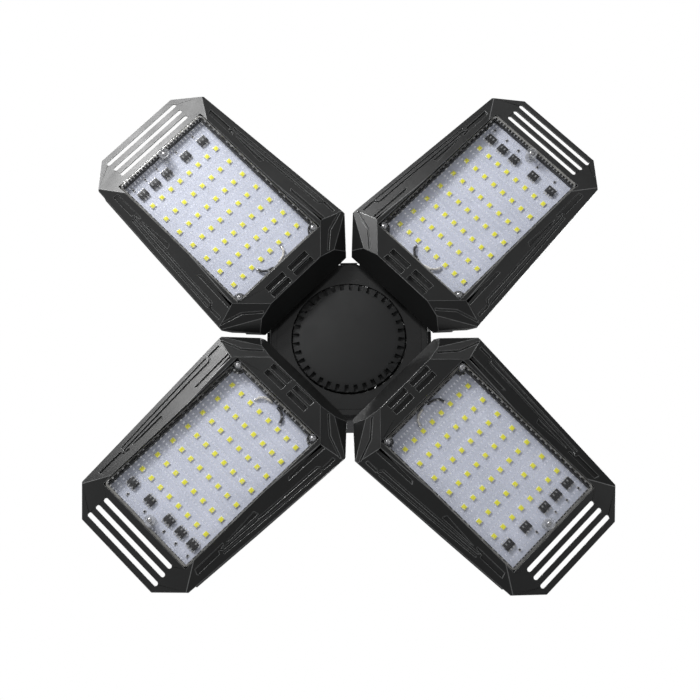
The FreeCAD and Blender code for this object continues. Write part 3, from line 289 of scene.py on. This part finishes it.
# ---------------------------------------------------------------- materials
def material(name, color, rough, metal=0.0, spread=0.06, tint=None, spot=40.0, rough_spread=0.05, grain=0.0,
             grain_size=0.4, spec=0.5, coat=0.0, alpha=1.0, transmission=0.0, ior=1.45, stretch=None, emission=None,
             fine=0.0):
    """A procedural surface.  spot is the size in mm of its slow colour changes, grain
    the depth in micrometres of its fine bump and grain_size that bump's size in mm."""
    m = bpy.data.materials.new(name)
    m.use_nodes = True
    nt = m.node_tree
    nt.nodes.clear()
    out = nt.nodes.new("ShaderNodeOutputMaterial")
    bsdf = nt.nodes.new("ShaderNodeBsdfPrincipled")
    nt.links.new(bsdf.outputs[0], out.inputs[0])
    bsdf.inputs["Metallic"].default_value = metal
    bsdf.inputs["Specular IOR Level"].default_value = spec
    bsdf.inputs["Coat Weight"].default_value = coat
    bsdf.inputs["Coat Roughness"].default_value = 0.12
    bsdf.inputs["Alpha"].default_value = alpha
    bsdf.inputs["Transmission Weight"].default_value = transmission
    bsdf.inputs["IOR"].default_value = ior
    tc = nt.nodes.new("ShaderNodeTexCoord")
    mp = nt.nodes.new("ShaderNodeMapping")
    nt.links.new(tc.outputs["Object"], mp.inputs["Vector"])
    if stretch:
        mp.inputs["Scale"].default_value = stretch
    slow = nt.nodes.new("ShaderNodeTexNoise")
    slow.inputs["Scale"].default_value = 1000.0 / spot
    slow.inputs["Detail"].default_value = 4.0
    nt.links.new(mp.outputs[0], slow.inputs["Vector"])
    ramp = nt.nodes.new("ShaderNodeValToRGB")
    c = Vector(color)
    t = Vector(tint) if tint is not None else c
    lo = [max(0.0, x * (1 - spread)) for x in c]
    hi = [min(1.0, x * (1 + spread)) for x in t]
    ramp.color_ramp.elements[0].position = 0.3
    ramp.color_ramp.elements[0].color = (*lo, 1)
    ramp.color_ramp.elements[1].position = 0.7
    ramp.color_ramp.elements[1].color = (*hi, 1)
    nt.links.new(slow.outputs[0], ramp.inputs[0])
    colour_out = ramp.outputs[0]
    if fine > 0:
        speck = nt.nodes.new("ShaderNodeTexNoise")
        speck.inputs["Scale"].default_value = 1000.0 / 0.55
        speck.inputs["Detail"].default_value = 2.0
        nt.links.new(mp.outputs[0], speck.inputs["Vector"])
        sr = nt.nodes.new("ShaderNodeMapRange")
        sr.inputs["From Min"].default_value = 0.35
        sr.inputs["From Max"].default_value = 0.65
        sr.inputs["To Min"].default_value = 1.0 - fine
        sr.inputs["To Max"].default_value = 1.0 + fine
        nt.links.new(speck.outputs[0], sr.inputs[0])
        mul = nt.nodes.new("ShaderNodeVectorMath")
        mul.operation = "SCALE"
        nt.links.new(colour_out, mul.inputs[0])
        nt.links.new(sr.outputs[0], mul.inputs["Scale"])
        colour_out = mul.outputs[0]
    nt.links.new(colour_out, bsdf.inputs["Base Color"])
    if emission:
        bsdf.inputs["Emission Color"].default_value = (*emission[0], 1)
        bsdf.inputs["Emission Strength"].default_value = emission[1]
    rn = nt.nodes.new("ShaderNodeTexNoise")
    rn.inputs["Scale"].default_value = 1000.0 / (spot * 0.22)
    rn.inputs["Detail"].default_value = 5.0
    nt.links.new(mp.outputs[0], rn.inputs["Vector"])
    mr = nt.nodes.new("ShaderNodeMapRange")
    mr.inputs["From Min"].default_value = 0.3
    mr.inputs["From Max"].default_value = 0.7
    mr.inputs["To Min"].default_value = max(0.02, rough - rough_spread)
    mr.inputs["To Max"].default_value = min(1.0, rough + rough_spread)
    nt.links.new(rn.outputs[0], mr.inputs[0])
    nt.links.new(mr.outputs[0], bsdf.inputs["Roughness"])
    if grain > 0:
        gn = nt.nodes.new("ShaderNodeTexNoise")
        gn.inputs["Scale"].default_value = 1000.0 / grain_size
        gn.inputs["Detail"].default_value = 3.0
        nt.links.new(mp.outputs[0], gn.inputs["Vector"])
        bump = nt.nodes.new("ShaderNodeBump")
        bump.inputs["Strength"].default_value = 1.0
        bump.inputs["Distance"].default_value = grain * 1e-6
        nt.links.new(gn.outputs[0], bump.inputs["Height"])
        nt.links.new(bump.outputs[0], bsdf.inputs["Normal"])
    return m


M = {
    "frame": material("satin_black_plastic", (0.0095, 0.0098, 0.0097), 0.34, tint=(0.0125, 0.0128, 0.0127), spot=60,
                      grain=9.0, grain_size=0.55, rough_spread=0.04),
    "cap": material("matte_black_plastic", (0.0125, 0.0129, 0.0131), 0.6, tint=(0.0155, 0.0159, 0.0161), spot=30,
                    grain=14.0, grain_size=0.45, rough_spread=0.04, spec=0.38),
    "hub": material("hub_black_plastic", (0.010, 0.0103, 0.0103), 0.24, tint=(0.014, 0.0143, 0.0143), spot=35,
                    grain=12.0, grain_size=0.5, spec=0.7),
    "heat_sink": material("black_anodised_metal", (0.02, 0.0205, 0.0215), 0.42, metal=0.35, tint=(0.03, 0.0305, 0.032),
                          spot=25, grain=16.0, grain_size=0.35, rough_spread=0.08),
    "lens": material("clear_cover", (0.86, 0.88, 0.93), 0.2, tint=(0.95, 0.96, 1.0), spot=18, rough_spread=0.03,
                     metal=1.0, alpha=0.022, spread=0.03),
    # painted highlight: a cream, less clear band along the cover's edge stands in for the bright line the edge catches
    "lens_rim": material("clear_cover_painted_edge_highlight", (0.62, 0.61, 0.58), 0.12, tint=(0.8, 0.79, 0.75), spot=5, rough_spread=0.04,
                         alpha=0.30, spread=0.25),
    # painted highlight: each dimple's centre is whiter and less clear, standing in for the glint every dimple catches
    "lens_painted_glint": material("clear_cover_painted_dimple_glint", (0.84, 0.86, 0.90), 0.55, tint=(0.94, 0.95, 0.98), spot=3, rough_spread=0.05,
                         alpha=0.28, spread=0.08, spec=0.25),
    "lens_boss": material("clear_cover_boss", (0.55, 0.56, 0.58), 0.12, tint=(0.75, 0.76, 0.78), spot=2.5, rough_spread=0.05,
                          alpha=0.30, spread=0.25),
    "board": material("coated_circuit_board", (0.62, 0.655, 0.77), 0.45, tint=(0.67, 0.70, 0.82), spot=14, spread=0.03,
                      grain=6.0, grain_size=0.5, fine=0.07),
    "chip": material("yellow_gel", (0.93, 0.88, 0.03), 0.28, tint=(0.98, 0.93, 0.09), spot=1.1, spread=0.05,
                     grain=5.0, grain_size=0.5),
    "chip_case": material("cream_case", (0.86, 0.85, 0.76), 0.4, tint=(0.9, 0.89, 0.82), spot=1.3, spread=0.05,
                          grain=4.0, grain_size=0.3),
    "ic": material("ic_case", (0.018, 0.018, 0.02), 0.45, spot=4, spread=0.2, grain=6, grain_size=0.25),
    "lead": material("tinned_leads", (0.74, 0.73, 0.72), 0.36, metal=0.35, spot=2, spread=0.12, grain=4, grain_size=0.3),
    "small_part": material("chip_resistor", (0.02, 0.02, 0.022), 0.4, spot=2, spread=0.15, grain=4, grain_size=0.3),
    "screw": material("plated_steel", (0.55, 0.55, 0.56), 0.32, metal=1.0, spot=3, spread=0.1, grain=5, grain_size=0.3,
                      rough_spread=0.1),
    "pin": material("ground_steel", (0.5, 0.5, 0.51), 0.28, metal=1.0, spot=4, spread=0.08, grain=4, grain_size=0.2),
    # painted highlight: a black much lighter than the frame's own, put only on the rounded edges, stands in for the
    # light those edges catch
    "painted_edge_highlight": material("satin_black_painted_edge_highlight", (0.10, 0.102, 0.102), 0.30, tint=(0.135, 0.137, 0.137), spot=12, grain=6.0,
                           grain_size=0.4, rough_spread=0.05, spec=0.9),
    "rubber": material("black_silicone", (0.018, 0.018, 0.018), 0.6, spot=8, spread=0.15, grain=8, grain_size=0.4),
    "washer": material("washer_plastic", (0.55, 0.52, 0.44), 0.5, spot=3, spread=0.08, grain=4, grain_size=0.3),
    "wire_dark": material("wire_black", (0.03, 0.03, 0.032), 0.4, spot=4, spread=0.15, grain=4, grain_size=0.4),
    "wire_light": material("wire_white", (0.72, 0.70, 0.66), 0.4, spot=4, spread=0.06, grain=4, grain_size=0.4),
    "shell": material("nickel_shell", (0.72, 0.70, 0.66), 0.24, metal=1.0, spot=9, spread=0.06, grain=4, grain_size=0.6,
                      rough_spread=0.08),
    "insulator": material("glazed_insulator", (0.02, 0.02, 0.024), 0.18, spot=6, spread=0.2, grain=3, grain_size=0.8),
    "contact": material("tinned_contact", (0.70, 0.66, 0.56), 0.3, metal=1.0, spot=3, spread=0.1, grain=5, grain_size=0.5),
    "laminate": material("green_laminate", (0.03, 0.16, 0.06), 0.4, tint=(0.04, 0.2, 0.08), spot=6, grain=5, grain_size=0.4),
    "driver": material("component_cases", (0.05, 0.05, 0.06), 0.4, tint=(0.09, 0.09, 0.11), spot=7, grain=5, grain_size=0.5),
    "solder": material("solder_joint", (0.65, 0.65, 0.66), 0.22, metal=1.0, spot=1.5, spread=0.1, grain=4, grain_size=0.3),
}


def finish_piece(ob, body, mat, slot, *replaced):
    if len(ob.data.materials) == 2:
        ob.data.materials[0] = M[mat]
    else:
        ob.data.materials.clear()
        ob.data.materials.append(M[mat])
    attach(ob, body)
    if replaced:
        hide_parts(*replaced)
    return ob


# --------------------------------------------------------------- wing pieces
FRAME_EDGE = 0.2
X0, X1, YH = 47.05, 129.55, 26.75
LENS_SPOTS = [(126.3, -0.1), (48.75, 24.55), (48.75, -24.55)]
SCREW_SPOTS = [(52.0, 29.0), (52.0, -29.0), (124.0, 29.0), (124.0, -29.0)]


def lens_plate():
    """The clear cover: a plate with rounded corners, dimpled on its outer face."""
    nx, ny = 27, 29
    sub_x, sub_y = 6, 6
    deep = 0.16
    gx, gy = nx * sub_x, ny * sub_y
    rc = 2.0

    def corner(x, y):
        """Round the plate's corners, smoothly, without folding the grid."""
        sx, sy = (1 if x > (X0 + X1) / 2 else -1), (1 if y > 0 else -1)
        cx = (X1 - rc) if sx > 0 else (X0 + rc)
        cy = (YH - rc) * sy
        a, b = (x - cx) * sx / rc, (y - cy) * sy / rc
        if a > 0 and b > 0:
            a2, b2 = a * math.sqrt(1 - b * b / 2), b * math.sqrt(1 - a * a / 2)
            return cx + a2 * sx * rc, cy + b2 * sy * rc
        return x, y

    verts, idx = [], {}
    for i in range(gx + 1):
        for j in range(gy + 1):
            x = X0 + (X1 - X0) * i / gx
            y = -YH + 2 * YH * j / gy
            fu, fv = (i % sub_x) / sub_x, (j % sub_y) / sub_y
            edge = min(i, gx - i, j, gy - j)
            h = 0.0
            if 2 <= i <= gx - 2 and 2 <= j <= gy - 2:
                h = deep * (math.sin(math.pi * fu) * math.sin(math.pi * fv)) ** 0.8
            lip = 0.12 if edge == 0 else 0.0
            px, py = corner(x, y)
            idx[i, j] = len(verts)
            verts.append((px, py, -4.4 + deep - h + lip))
    faces = []
    for i in range(gx):
        for j in range(gy):
            faces.append((idx[i, j], idx[i, j + 1], idx[i + 1, j + 1], idx[i + 1, j]))
    loop = ([idx[i, 0] for i in range(gx)] + [idx[gx, j] for j in range(gy)]
            + [idx[i, gy] for i in range(gx, 0, -1)] + [idx[0, j] for j in range(gy, 0, -1)])
    low = []
    for k in loop:
        x, y, z = verts[k]
        low.append(len(verts))
        verts.append((x, y, -2.4))
    n = len(loop)
    # the faces along the edge and the centre faces of the dimples get whiter, less clear materials: a painted highlight
    # along the edge and a painted highlight on each dimple
    rim, glint_faces = set(), set()
    for i in range(gx):
        for j in range(gy):
            if i < 2 or i >= gx - 2 or j < 2 or j >= gy - 2:
                rim.add(i * gy + j)
            elif i % sub_x in (2, 3) and j % sub_y in (2, 3):
                mx = X0 + (X1 - X0) * (i // sub_x + 0.5) / nx
                my = -YH + 2 * YH * (j // sub_y + 0.5) / ny
                near_x = abs((mx - 56.511 + 4.674) % 9.348 - 4.674) < 1.45 and mx < 114.5
                near_y = abs((my + 0.252) % 6.0 - 3.0) < 1.35
                if not (near_x and near_y):
                    glint_faces.add(i * gy + j)
    for k in range(n):
        rim.add(len(faces))
        faces.append((loop[k], loop[(k + 1) % n], low[(k + 1) % n], low[k]))
    faces.append(tuple(low))
    return verts, faces, rim, glint_faces


LENS_V, LENS_F, RIM_FACES, GLINT_FACES = lens_plate()


def closed_ring(s, profile, seg, matrix):
    """A ring whose profile closes on itself."""
    n = len(profile)
    verts = []
    for r, z in profile:
        for k in range(seg):
            a = 2 * math.pi * k / seg
            verts.append((r * math.cos(a), r * math.sin(a), z))
    faces = []
    for i in range(n):
        i2 = (i + 1) % n
        for k in range(seg):
            k2 = (k + 1) % seg
            faces.append((i * seg + k, i * seg + k2, i2 * seg + k2, i2 * seg + k))
    s.add(verts, faces, matrix)


def cross_head(radius, height, crown, cross, depth):
    """A crowned screw head with a cross recess; its seat is at z = 0 and it points up."""
    s = Shape()
    prof = [(0.0, 0.0), (radius, 0.0), (radius, height * 0.55), (radius * 0.93, height * 0.82), (radius * 0.75, height),
            (radius * 0.4, height + crown * 0.8), (0.0, height + crown)]
    s.lathe(prof, 32)
    ob = s.make("head_blank", smooth=40)
    c = Shape()
    w = cross * 0.36
    c.block(-cross, cross, -w / 2, w / 2, height + crown - depth, height + crown + 1)
    c2 = Shape()
    c2.block(-w / 2, w / 2, -cross, cross, height + crown - depth, height + crown + 1)
    tools = []
    for k, sh in enumerate((c, c2)):
        t = sh.make("head_tool%d" % k)
        tools.append(t)
        m = ob.modifiers.new("cut%d" % k, "BOOLEAN")
        m.operation = "DIFFERENCE"
        m.solver = "EXACT"
        m.object = t
    bpy.context.view_layer.update()
    settle(ob)
    verts = [v.co.copy() for v in ob.data.vertices]
    faces = [tuple(p.vertices) for p in ob.data.polygons]
    for o in [ob] + tools:
        bpy.data.objects.remove(o, do_unlink=True)
    return verts, faces


HEAD_BIG = cross_head(2.08, 1.15, 0.4, 1.15, 0.95)
HEAD_SMALL = cross_head(1.12, 0.5, 0.25, 0.7, 0.5)


def chips_shape():
    s, c = Shape(), Shape()
    for j in range(7):
        for i in range(8):
            x = 56.511 + 9.348 * j
            y = (i - 3.5) * 6.0 - 0.252
            c.block(x - 1.25, x + 1.25, y - 1.15, y + 1.15, 0.1, 0.68, c=0.12)
            s.block(x - 1.08, x + 1.08, y - 0.98, y + 0.98, 0.0, 0.3, c=0.14)
    return s, c


CHIPS, CASES = chips_shape()
REG_Y = (18.9, 7.6, -5.05, -12.75, -20.5)


def regulators():
    body, lead = Shape(), Shape()
    for y in REG_Y:
        body.block(118.0, 121.8, y - 2.4, y + 2.4, -0.75, 0.62, c=0.18)
        for k in range(4):
            yy = y - 1.905 + 1.27 * k
            for sx in (-1, 1):
                x0 = 119.9 + sx * 1.75
                pts = [(x0, -0.15), (x0 + sx * 0.45, -0.15), (x0 + sx * 0.62, 0.1), (x0 + sx * 0.66, 0.55), (x0 + sx * 1.15, 0.62)]
                hw = 0.2
                verts, faces = [], []
                for q, (x, z) in enumerate(pts):
                    for dy, dz in ((-hw, -0.07), (hw, -0.07), (hw, 0.07), (-hw, 0.07)):
                        verts.append((x, yy + dy, z + dz))
                for q in range(len(pts) - 1):
                    for e in range(4):
                        e2 = (e + 1) % 4
                        faces.append((q * 4 + e, q * 4 + e2, q * 4 + 4 + e2, q * 4 + 4 + e))
                faces += [(3, 2, 1, 0), tuple(len(pts) * 4 - 4 + e for e in range(4))]
                lead.add(verts, faces)
    return body, lead


REG_BODY, REG_LEAD = regulators()
SMALL_SPOTS = ((125.0, 16.95), (125.0, 5.65), (125.0, -7.0), (125.0, -14.7), (125.0, -22.45))


def small_parts():
    mid, ends = Shape(), Shape()
    for x, y in SMALL_SPOTS:
        mid.block(x - 0.5, x + 0.5, y - 0.38, y + 0.38, 0.14, 0.66, c=0.06)
        for sx in (-1, 1):
            ends.block(min(x + sx * 0.48, x + sx * 0.8), max(x + sx * 0.48, x + sx * 0.8), y - 0.42, y + 0.42, 0.12, 0.68, c=0.06)
    return mid, ends


SMALL_MID, SMALL_END = small_parts()


def bend_line(points, radius, steps=6):
    """Straight runs joined by tangent arcs, as points."""
    p = [Vector(q) for q in points]
    out = [p[0]]
    for i in range(1, len(p) - 1):
        a, b = (p[i - 1] - p[i]).normalized(), (p[i + 1] - p[i]).normalized()
        half = a.angle(b) / 2
        cut = radius / math.tan(half)
        bis = (a + b).normalized()
        c = p[i] + bis * (radius / math.sin(half))
        v0, v1 = (p[i] + a * cut) - c, (p[i] + b * cut) - c
        for k in range(steps + 1):
            t = k / steps
            w = v0.slerp(v1, t)
            out.append(c + w.normalized() * radius)
    out.append(p[-1])
    return out


for wing in WINGS:
    W = wing_matrix(wing)
    body = wing + "_wing"
    n = wing + "_"
    # the frame's rounded edges carry a painted highlight
    frame_ob = from_cad(n + "frame", n + "frame_shell", width=FRAME_EDGE, angle=8.0, edge="painted_edge_highlight")
    finish_piece(frame_ob, body, "frame", "frame_plastic")
    rear = from_cad(n + "rear_housing", n + "rear_shell", width=0.3)
    finish_piece(rear, body, "heat_sink", "heat_sink")

    lens = new_object(n + "lens_cover", LENS_V, LENS_F, W)
    bm = bmesh.new()
    bm.from_mesh(lens.data)
    bmesh.ops.recalc_face_normals(bm, faces=bm.faces)
    bm.to_mesh(lens.data)
    bm.free()
    shade(lens, 35)
    finish_piece(lens, body, "lens", "lens_clear", n + "lens")
    lens.data.materials.append(M["lens_rim"])
    lens.data.materials.append(M["lens_painted_glint"])
    # the edge band and the dimple centres take the painted highlight materials
    for f in lens.data.polygons:
        if f.index in RIM_FACES:
            f.material_index = 1
        elif f.index in GLINT_FACES:
            f.material_index = 2
    boss = Shape()
    for x, y in LENS_SPOTS:
        wide, sink = (2.7, 2.1) if x > 100 else (1.6, 1.25)
        closed_ring(boss, [(0.8, 0.65), (wide, 0.65), (wide, -5.75), (wide - 0.1, -5.95), (wide - 0.2, -6.0), (sink, -5.9), (sink, -5.1), (0.8, -5.05)],
                    36, Matrix.Translation((x, y, 0)))
    finish_piece(boss.make(n + "lens_bosses", W, 40), body, "lens_boss", "lens_clear")

    board = NODES[n + "board"]
    board.data.materials.clear()
    board.data.materials.append(M["board"])
    seal = NODES[n + "seal"]
    seal.data.materials.clear()
    seal.data.materials.append(M["rubber"])

    finish_piece(CHIPS.make(n + "light_chips", W, 40), body, "chip", "light_chips", n + "leds")
    finish_piece(CASES.make(n + "light_chip_cases", W, 40), body, "chip_case", "light_chips")
    finish_piece(REG_BODY.make(n + "regulator_cases", W, 40), body, "ic", "regulators", n + "driver_ics")
    finish_piece(REG_LEAD.make(n + "regulator_leads", W, 40), body, "lead", "regulators")
    finish_piece(SMALL_MID.make(n + "small_parts", W, 40), body, "small_part", "regulators")
    finish_piece(SMALL_END.make(n + "small_part_ends", W, 40), body, "lead", "regulators")

    s = Shape()
    up = Matrix.Rotation(math.pi, 4, "X")
    for k, (x, y) in enumerate(LENS_SPOTS):
        m = Matrix.Translation((x, y, -5.1)) @ Matrix.Rotation(0.5 + 1.3 * k, 4, "Z") @ up
        s.add(*HEAD_SMALL, m)
        s.lathe([(0.0, -5.15), (0.7, -5.15), (0.7, 3.8), (0.0, 4.0)], 16, Matrix.Translation((x, y, 0)))
    finish_piece(s.make(n + "lens_screw_set", W, 40), body, "screw", "steel_screws", n + "lens_screws")
    s = Shape()
    for k, (x, y) in enumerate(SCREW_SPOTS):
        s.add(*HEAD_BIG, Matrix.Translation((x, y, 6.42)) @ Matrix.Rotation(0.3 + 1.1 * k, 4, "Z"))
        s.lathe([(0.0, -0.75), (1.0, -0.7), (1.05, 6.5), (0.0, 6.5)], 20, Matrix.Translation((x, y, 0)))
    finish_piece(s.make(n + "housing_screw_set", W, 40), body, "screw", "steel_screws", n + "housing_screws")

    for k, y in enumerate((-2.2, 2.0)):
        side = math.copysign(1.0, y)
        line = bend_line([(53.6, side * 7.9, 0.05), (51.8, side * 7.4, -0.45), (49.9, side * 5.2, -0.45), (49.2, y, -0.2),
                          (49.2, y, 7.2), (34.6, y, 7.2)], 0.75)
        t = Shape().tube(line, 0.6, 14)
        w = t.make(n + ("wire_dark" if k == 0 else "wire_light"), W, 50)
        finish_piece(w, body, "wire_dark" if k == 0 else "wire_light", "wire_sheath")
        if k == 0:
            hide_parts(n + "lead_wires")
    s = Shape()
    for y in (-8.05, 8.05):
        s.lathe([(0.0, -0.35), (0.5, -0.3), (0.85, 0.2), (1.05, 0.69), (0.0, 0.69)], 20, Matrix.Translation((53.7, y, 0)))
    finish_piece(s.make(n + "solder_pads", W, 50), body, "solder", "wire_sheath")

    pin = from_cad(n + "hinge_pin", n + "hinge_rod", width=0.15)
    finish_piece(pin, "hub", "pin", "steel_pins")
    wash = from_cad(n + "friction_washers", n + "friction_rings", width=0.08)
    finish_piece(wash, "hub", "washer", "friction_pads")

# ------------------------------------------------------------------- the hub
finish_piece(from_cad("centre_cap", "cap_shell", width=0.22), "hub", "cap", "cap_plastic")
finish_piece(from_cad("lower_housing", "lower_shell", width=0.25), "hub", "hub", "hub_plastic")
finish_piece(from_cad("upper_housing", "upper_shell", width=0.3), "hub", "hub", "hub_plastic")
finish_piece(from_cad("base_collar", "collar_shell", width=0.3), "hub", "hub", "collar_plastic")

# threaded shell: one continuous rolled thread
def thread_shell():
    seg, pitch, z_low, z_high = 72, 3.6, 5.2, 20.4
    rows = []
    steps = 96
    for q in range(steps + 1):
        rows.append(z_low + (z_high - z_low) * q / steps)

    def radius(z, a):
        t = ((z - z_low) / pitch - a / (2 * math.pi)) % 1.0
        wave = 0.5 - 0.5 * math.cos(2 * math.pi * t)
        wave = wave ** 0.85
        ends = min(1.0, max(0.0, (z - z_low) / 1.2), max(0.0, (z_high - z) / 1.2))
        return 11.9 + (13.1 - 11.9) * wave * (ends * ends * (3 - 2 * ends))

    prof_low = [(12.7, 0.0), (13.18, 0.0), (13.3, 0.14), (13.3, 4.3), (13.2, 4.5), (12.3, 4.95)]
    prof_high = [(11.75, 20.7), (11.55, 21.2), (10.8, 22.2), (9.8, 22.95), (8.4, 23.4), (8.2, 23.35), (8.2, 22.8)]
    inner = [(9.7, 22.1), (11.0, 20.7), (11.2, 5.0), (12.7, 4.1)]
    rings = []
    for r, z in prof_low:
        rings.append([(r, z)] * seg)
    for z in rows:
        rings.append([(radius(z, 2 * math.pi * k / seg), z) for k in range(seg)])
    for r, z in prof_high + inner:
        rings.append([(r, z)] * seg)
    verts = []
    for ring in rings:
        for k, (r, z) in enumerate(ring):
            a = 2 * math.pi * k / seg
            verts.append((r * math.cos(a), r * math.sin(a), z))
    faces = []
    m = len(rings)
    for i in range(m):
        i2 = (i + 1) % m
        for k in range(seg):
            k2 = (k + 1) % seg
            faces.append((i * seg + k, i * seg + k2, i2 * seg + k2, i2 * seg + k))
    return Shape().add(verts, faces)


finish_piece(thread_shell().make("thread_shell", Matrix.Scale(MM, 4), 35), "hub", "shell", "base_metal", "screw_shell")
finish_piece(from_cad("base_insulator", "insulator_ring", width=0.2), "hub", "insulator", "base_insulation")
finish_piece(Shape().lathe([(0.0, 21.0), (1.6, 21.05), (3.5, 24.5), (3.9, 25.62), (4.55, 25.68), (4.68, 25.8), (4.5, 26.1), (3.6, 26.4),
                            (2.2, 26.57), (0.0, 26.6)], 48).make("contact_tip", Matrix.Scale(MM, 4), 35),
             "hub", "contact", "contact_metal", "centre_contact")

for node, mat in (("hub_seal", "rubber"), ("driver_board", "laminate"), ("driver_components", "driver"),
                  ("base_lead_wires", "wire_light"), ("hub_screws", "screw")):
    NODES[node].data.materials.clear()
    NODES[node].data.materials.append(M[mat])

# ------------------------------------------------------ floor, world and light
me = bpy.data.meshes.new("floor")
me.from_pydata([(-20, -20, 0), (20, -20, 0), (20, 20, 0), (-20, 20, 0)], [], [(0, 1, 2, 3)])
floor = bpy.data.objects.new("floor", me)
floor.location = (0, 0, -2.2)
bpy.context.scene.collection.objects.link(floor)
floor_mat = material("pale_floor", (0.9, 0.9, 0.9), 0.8, spot=900, spread=0.01)
floor.data.materials.append(floor_mat)
# the camera sees the floor nearly as pale as the backdrop, and the light it sheds stays the same
fnt = floor_mat.node_tree
f_out = next(q for q in fnt.nodes if q.bl_idname == "ShaderNodeOutputMaterial")
f_bsdf = next(q for q in fnt.nodes if q.bl_idname == "ShaderNodeBsdfPrincipled")
f_glow = fnt.nodes.new("ShaderNodeEmission")
f_glow.inputs[0].default_value = (0.86, 0.86, 0.86, 1)
f_path = fnt.nodes.new("ShaderNodeLightPath")
f_part = fnt.nodes.new("ShaderNodeMath")
f_part.operation = "MULTIPLY"
f_part.inputs[1].default_value = 0.75
f_mix = fnt.nodes.new("ShaderNodeMixShader")
fnt.links.new(f_path.outputs["Is Camera Ray"], f_part.inputs[0])
fnt.links.new(f_part.outputs[0], f_mix.inputs[0])
fnt.links.new(f_bsdf.outputs[0], f_mix.inputs[1])
fnt.links.new(f_glow.outputs[0], f_mix.inputs[2])
fnt.links.new(f_mix.outputs[0], f_out.inputs[0])

scene = bpy.context.scene
scene.view_settings.view_transform = "Standard"
scene.view_settings.look = "None"
scene.view_settings.exposure = 0.0
scene.view_settings.gamma = 1.0
world = bpy.data.worlds.new("studio")
scene.world = world
world.use_nodes = True
nt = world.node_tree
nt.nodes.clear()
wo = nt.nodes.new("ShaderNodeOutputWorld")
mix = nt.nodes.new("ShaderNodeMixShader")
lp = nt.nodes.new("ShaderNodeLightPath")
bg_cam = nt.nodes.new("ShaderNodeBackground")
bg_cam.inputs[0].default_value = (1, 1, 1, 1)
bg_cam.inputs[1].default_value = 1.0
bg_light = nt.nodes.new("ShaderNodeBackground")
bg_light.inputs[0].default_value = (0.97, 0.98, 1.0, 1)
bg_light.inputs[1].default_value = 0.16
nt.links.new(lp.outputs["Is Camera Ray"], mix.inputs[0])
nt.links.new(bg_light.outputs[0], mix.inputs[1])
nt.links.new(bg_cam.outputs[0], mix.inputs[2])
nt.links.new(mix.outputs[0], wo.inputs[0])


def area(name, loc, target, size, power, color=(1, 1, 1), size_y=None):
    l = bpy.data.lights.new(name, "AREA")
    l.shape = "RECTANGLE"
    l.size = size
    l.size_y = size_y or size
    l.energy = power
    l.color = color
    o = bpy.data.objects.new(name, l)
    o.location = loc
    o.rotation_mode = "QUATERNION"
    o.rotation_quaternion = (Vector(target) - Vector(loc)).to_track_quat("-Z", "Y")
    scene.collection.objects.link(o)
    return o


# the main softbox is below the light and to the upper left of the picture (-X, -Y),
# with a small hard source inside it; the fills come in at low angles
AIM = (0, 0, -0.06)
area("soft_main", (-0.29, -0.40, -0.44), AIM, 0.30, 1.95)
area("hard_main", (-0.28, -0.385, -0.43), AIM, 0.06, 1.25)
area("soft_left", (-0.80, 0.18, -0.80), AIM, 0.5, 0.7, size_y=0.3)
area("soft_right", (0.80, 0.14, -0.75), AIM, 0.5, 0.55, size_y=0.3)
area("soft_upper_right", (0.40, -0.92, -0.71), AIM, 0.5, 0.6, size_y=0.25)
area("soft_fill_low", (0.15, 0.95, -0.42), AIM, 0.5, 0.8, size_y=0.25)
area("soft_back", (-0.57, -0.92, 0.70), AIM, 0.8, 11.0)
area("soft_top", (0.3, -0.4, 1.1), AIM, 1.0, 17.0)
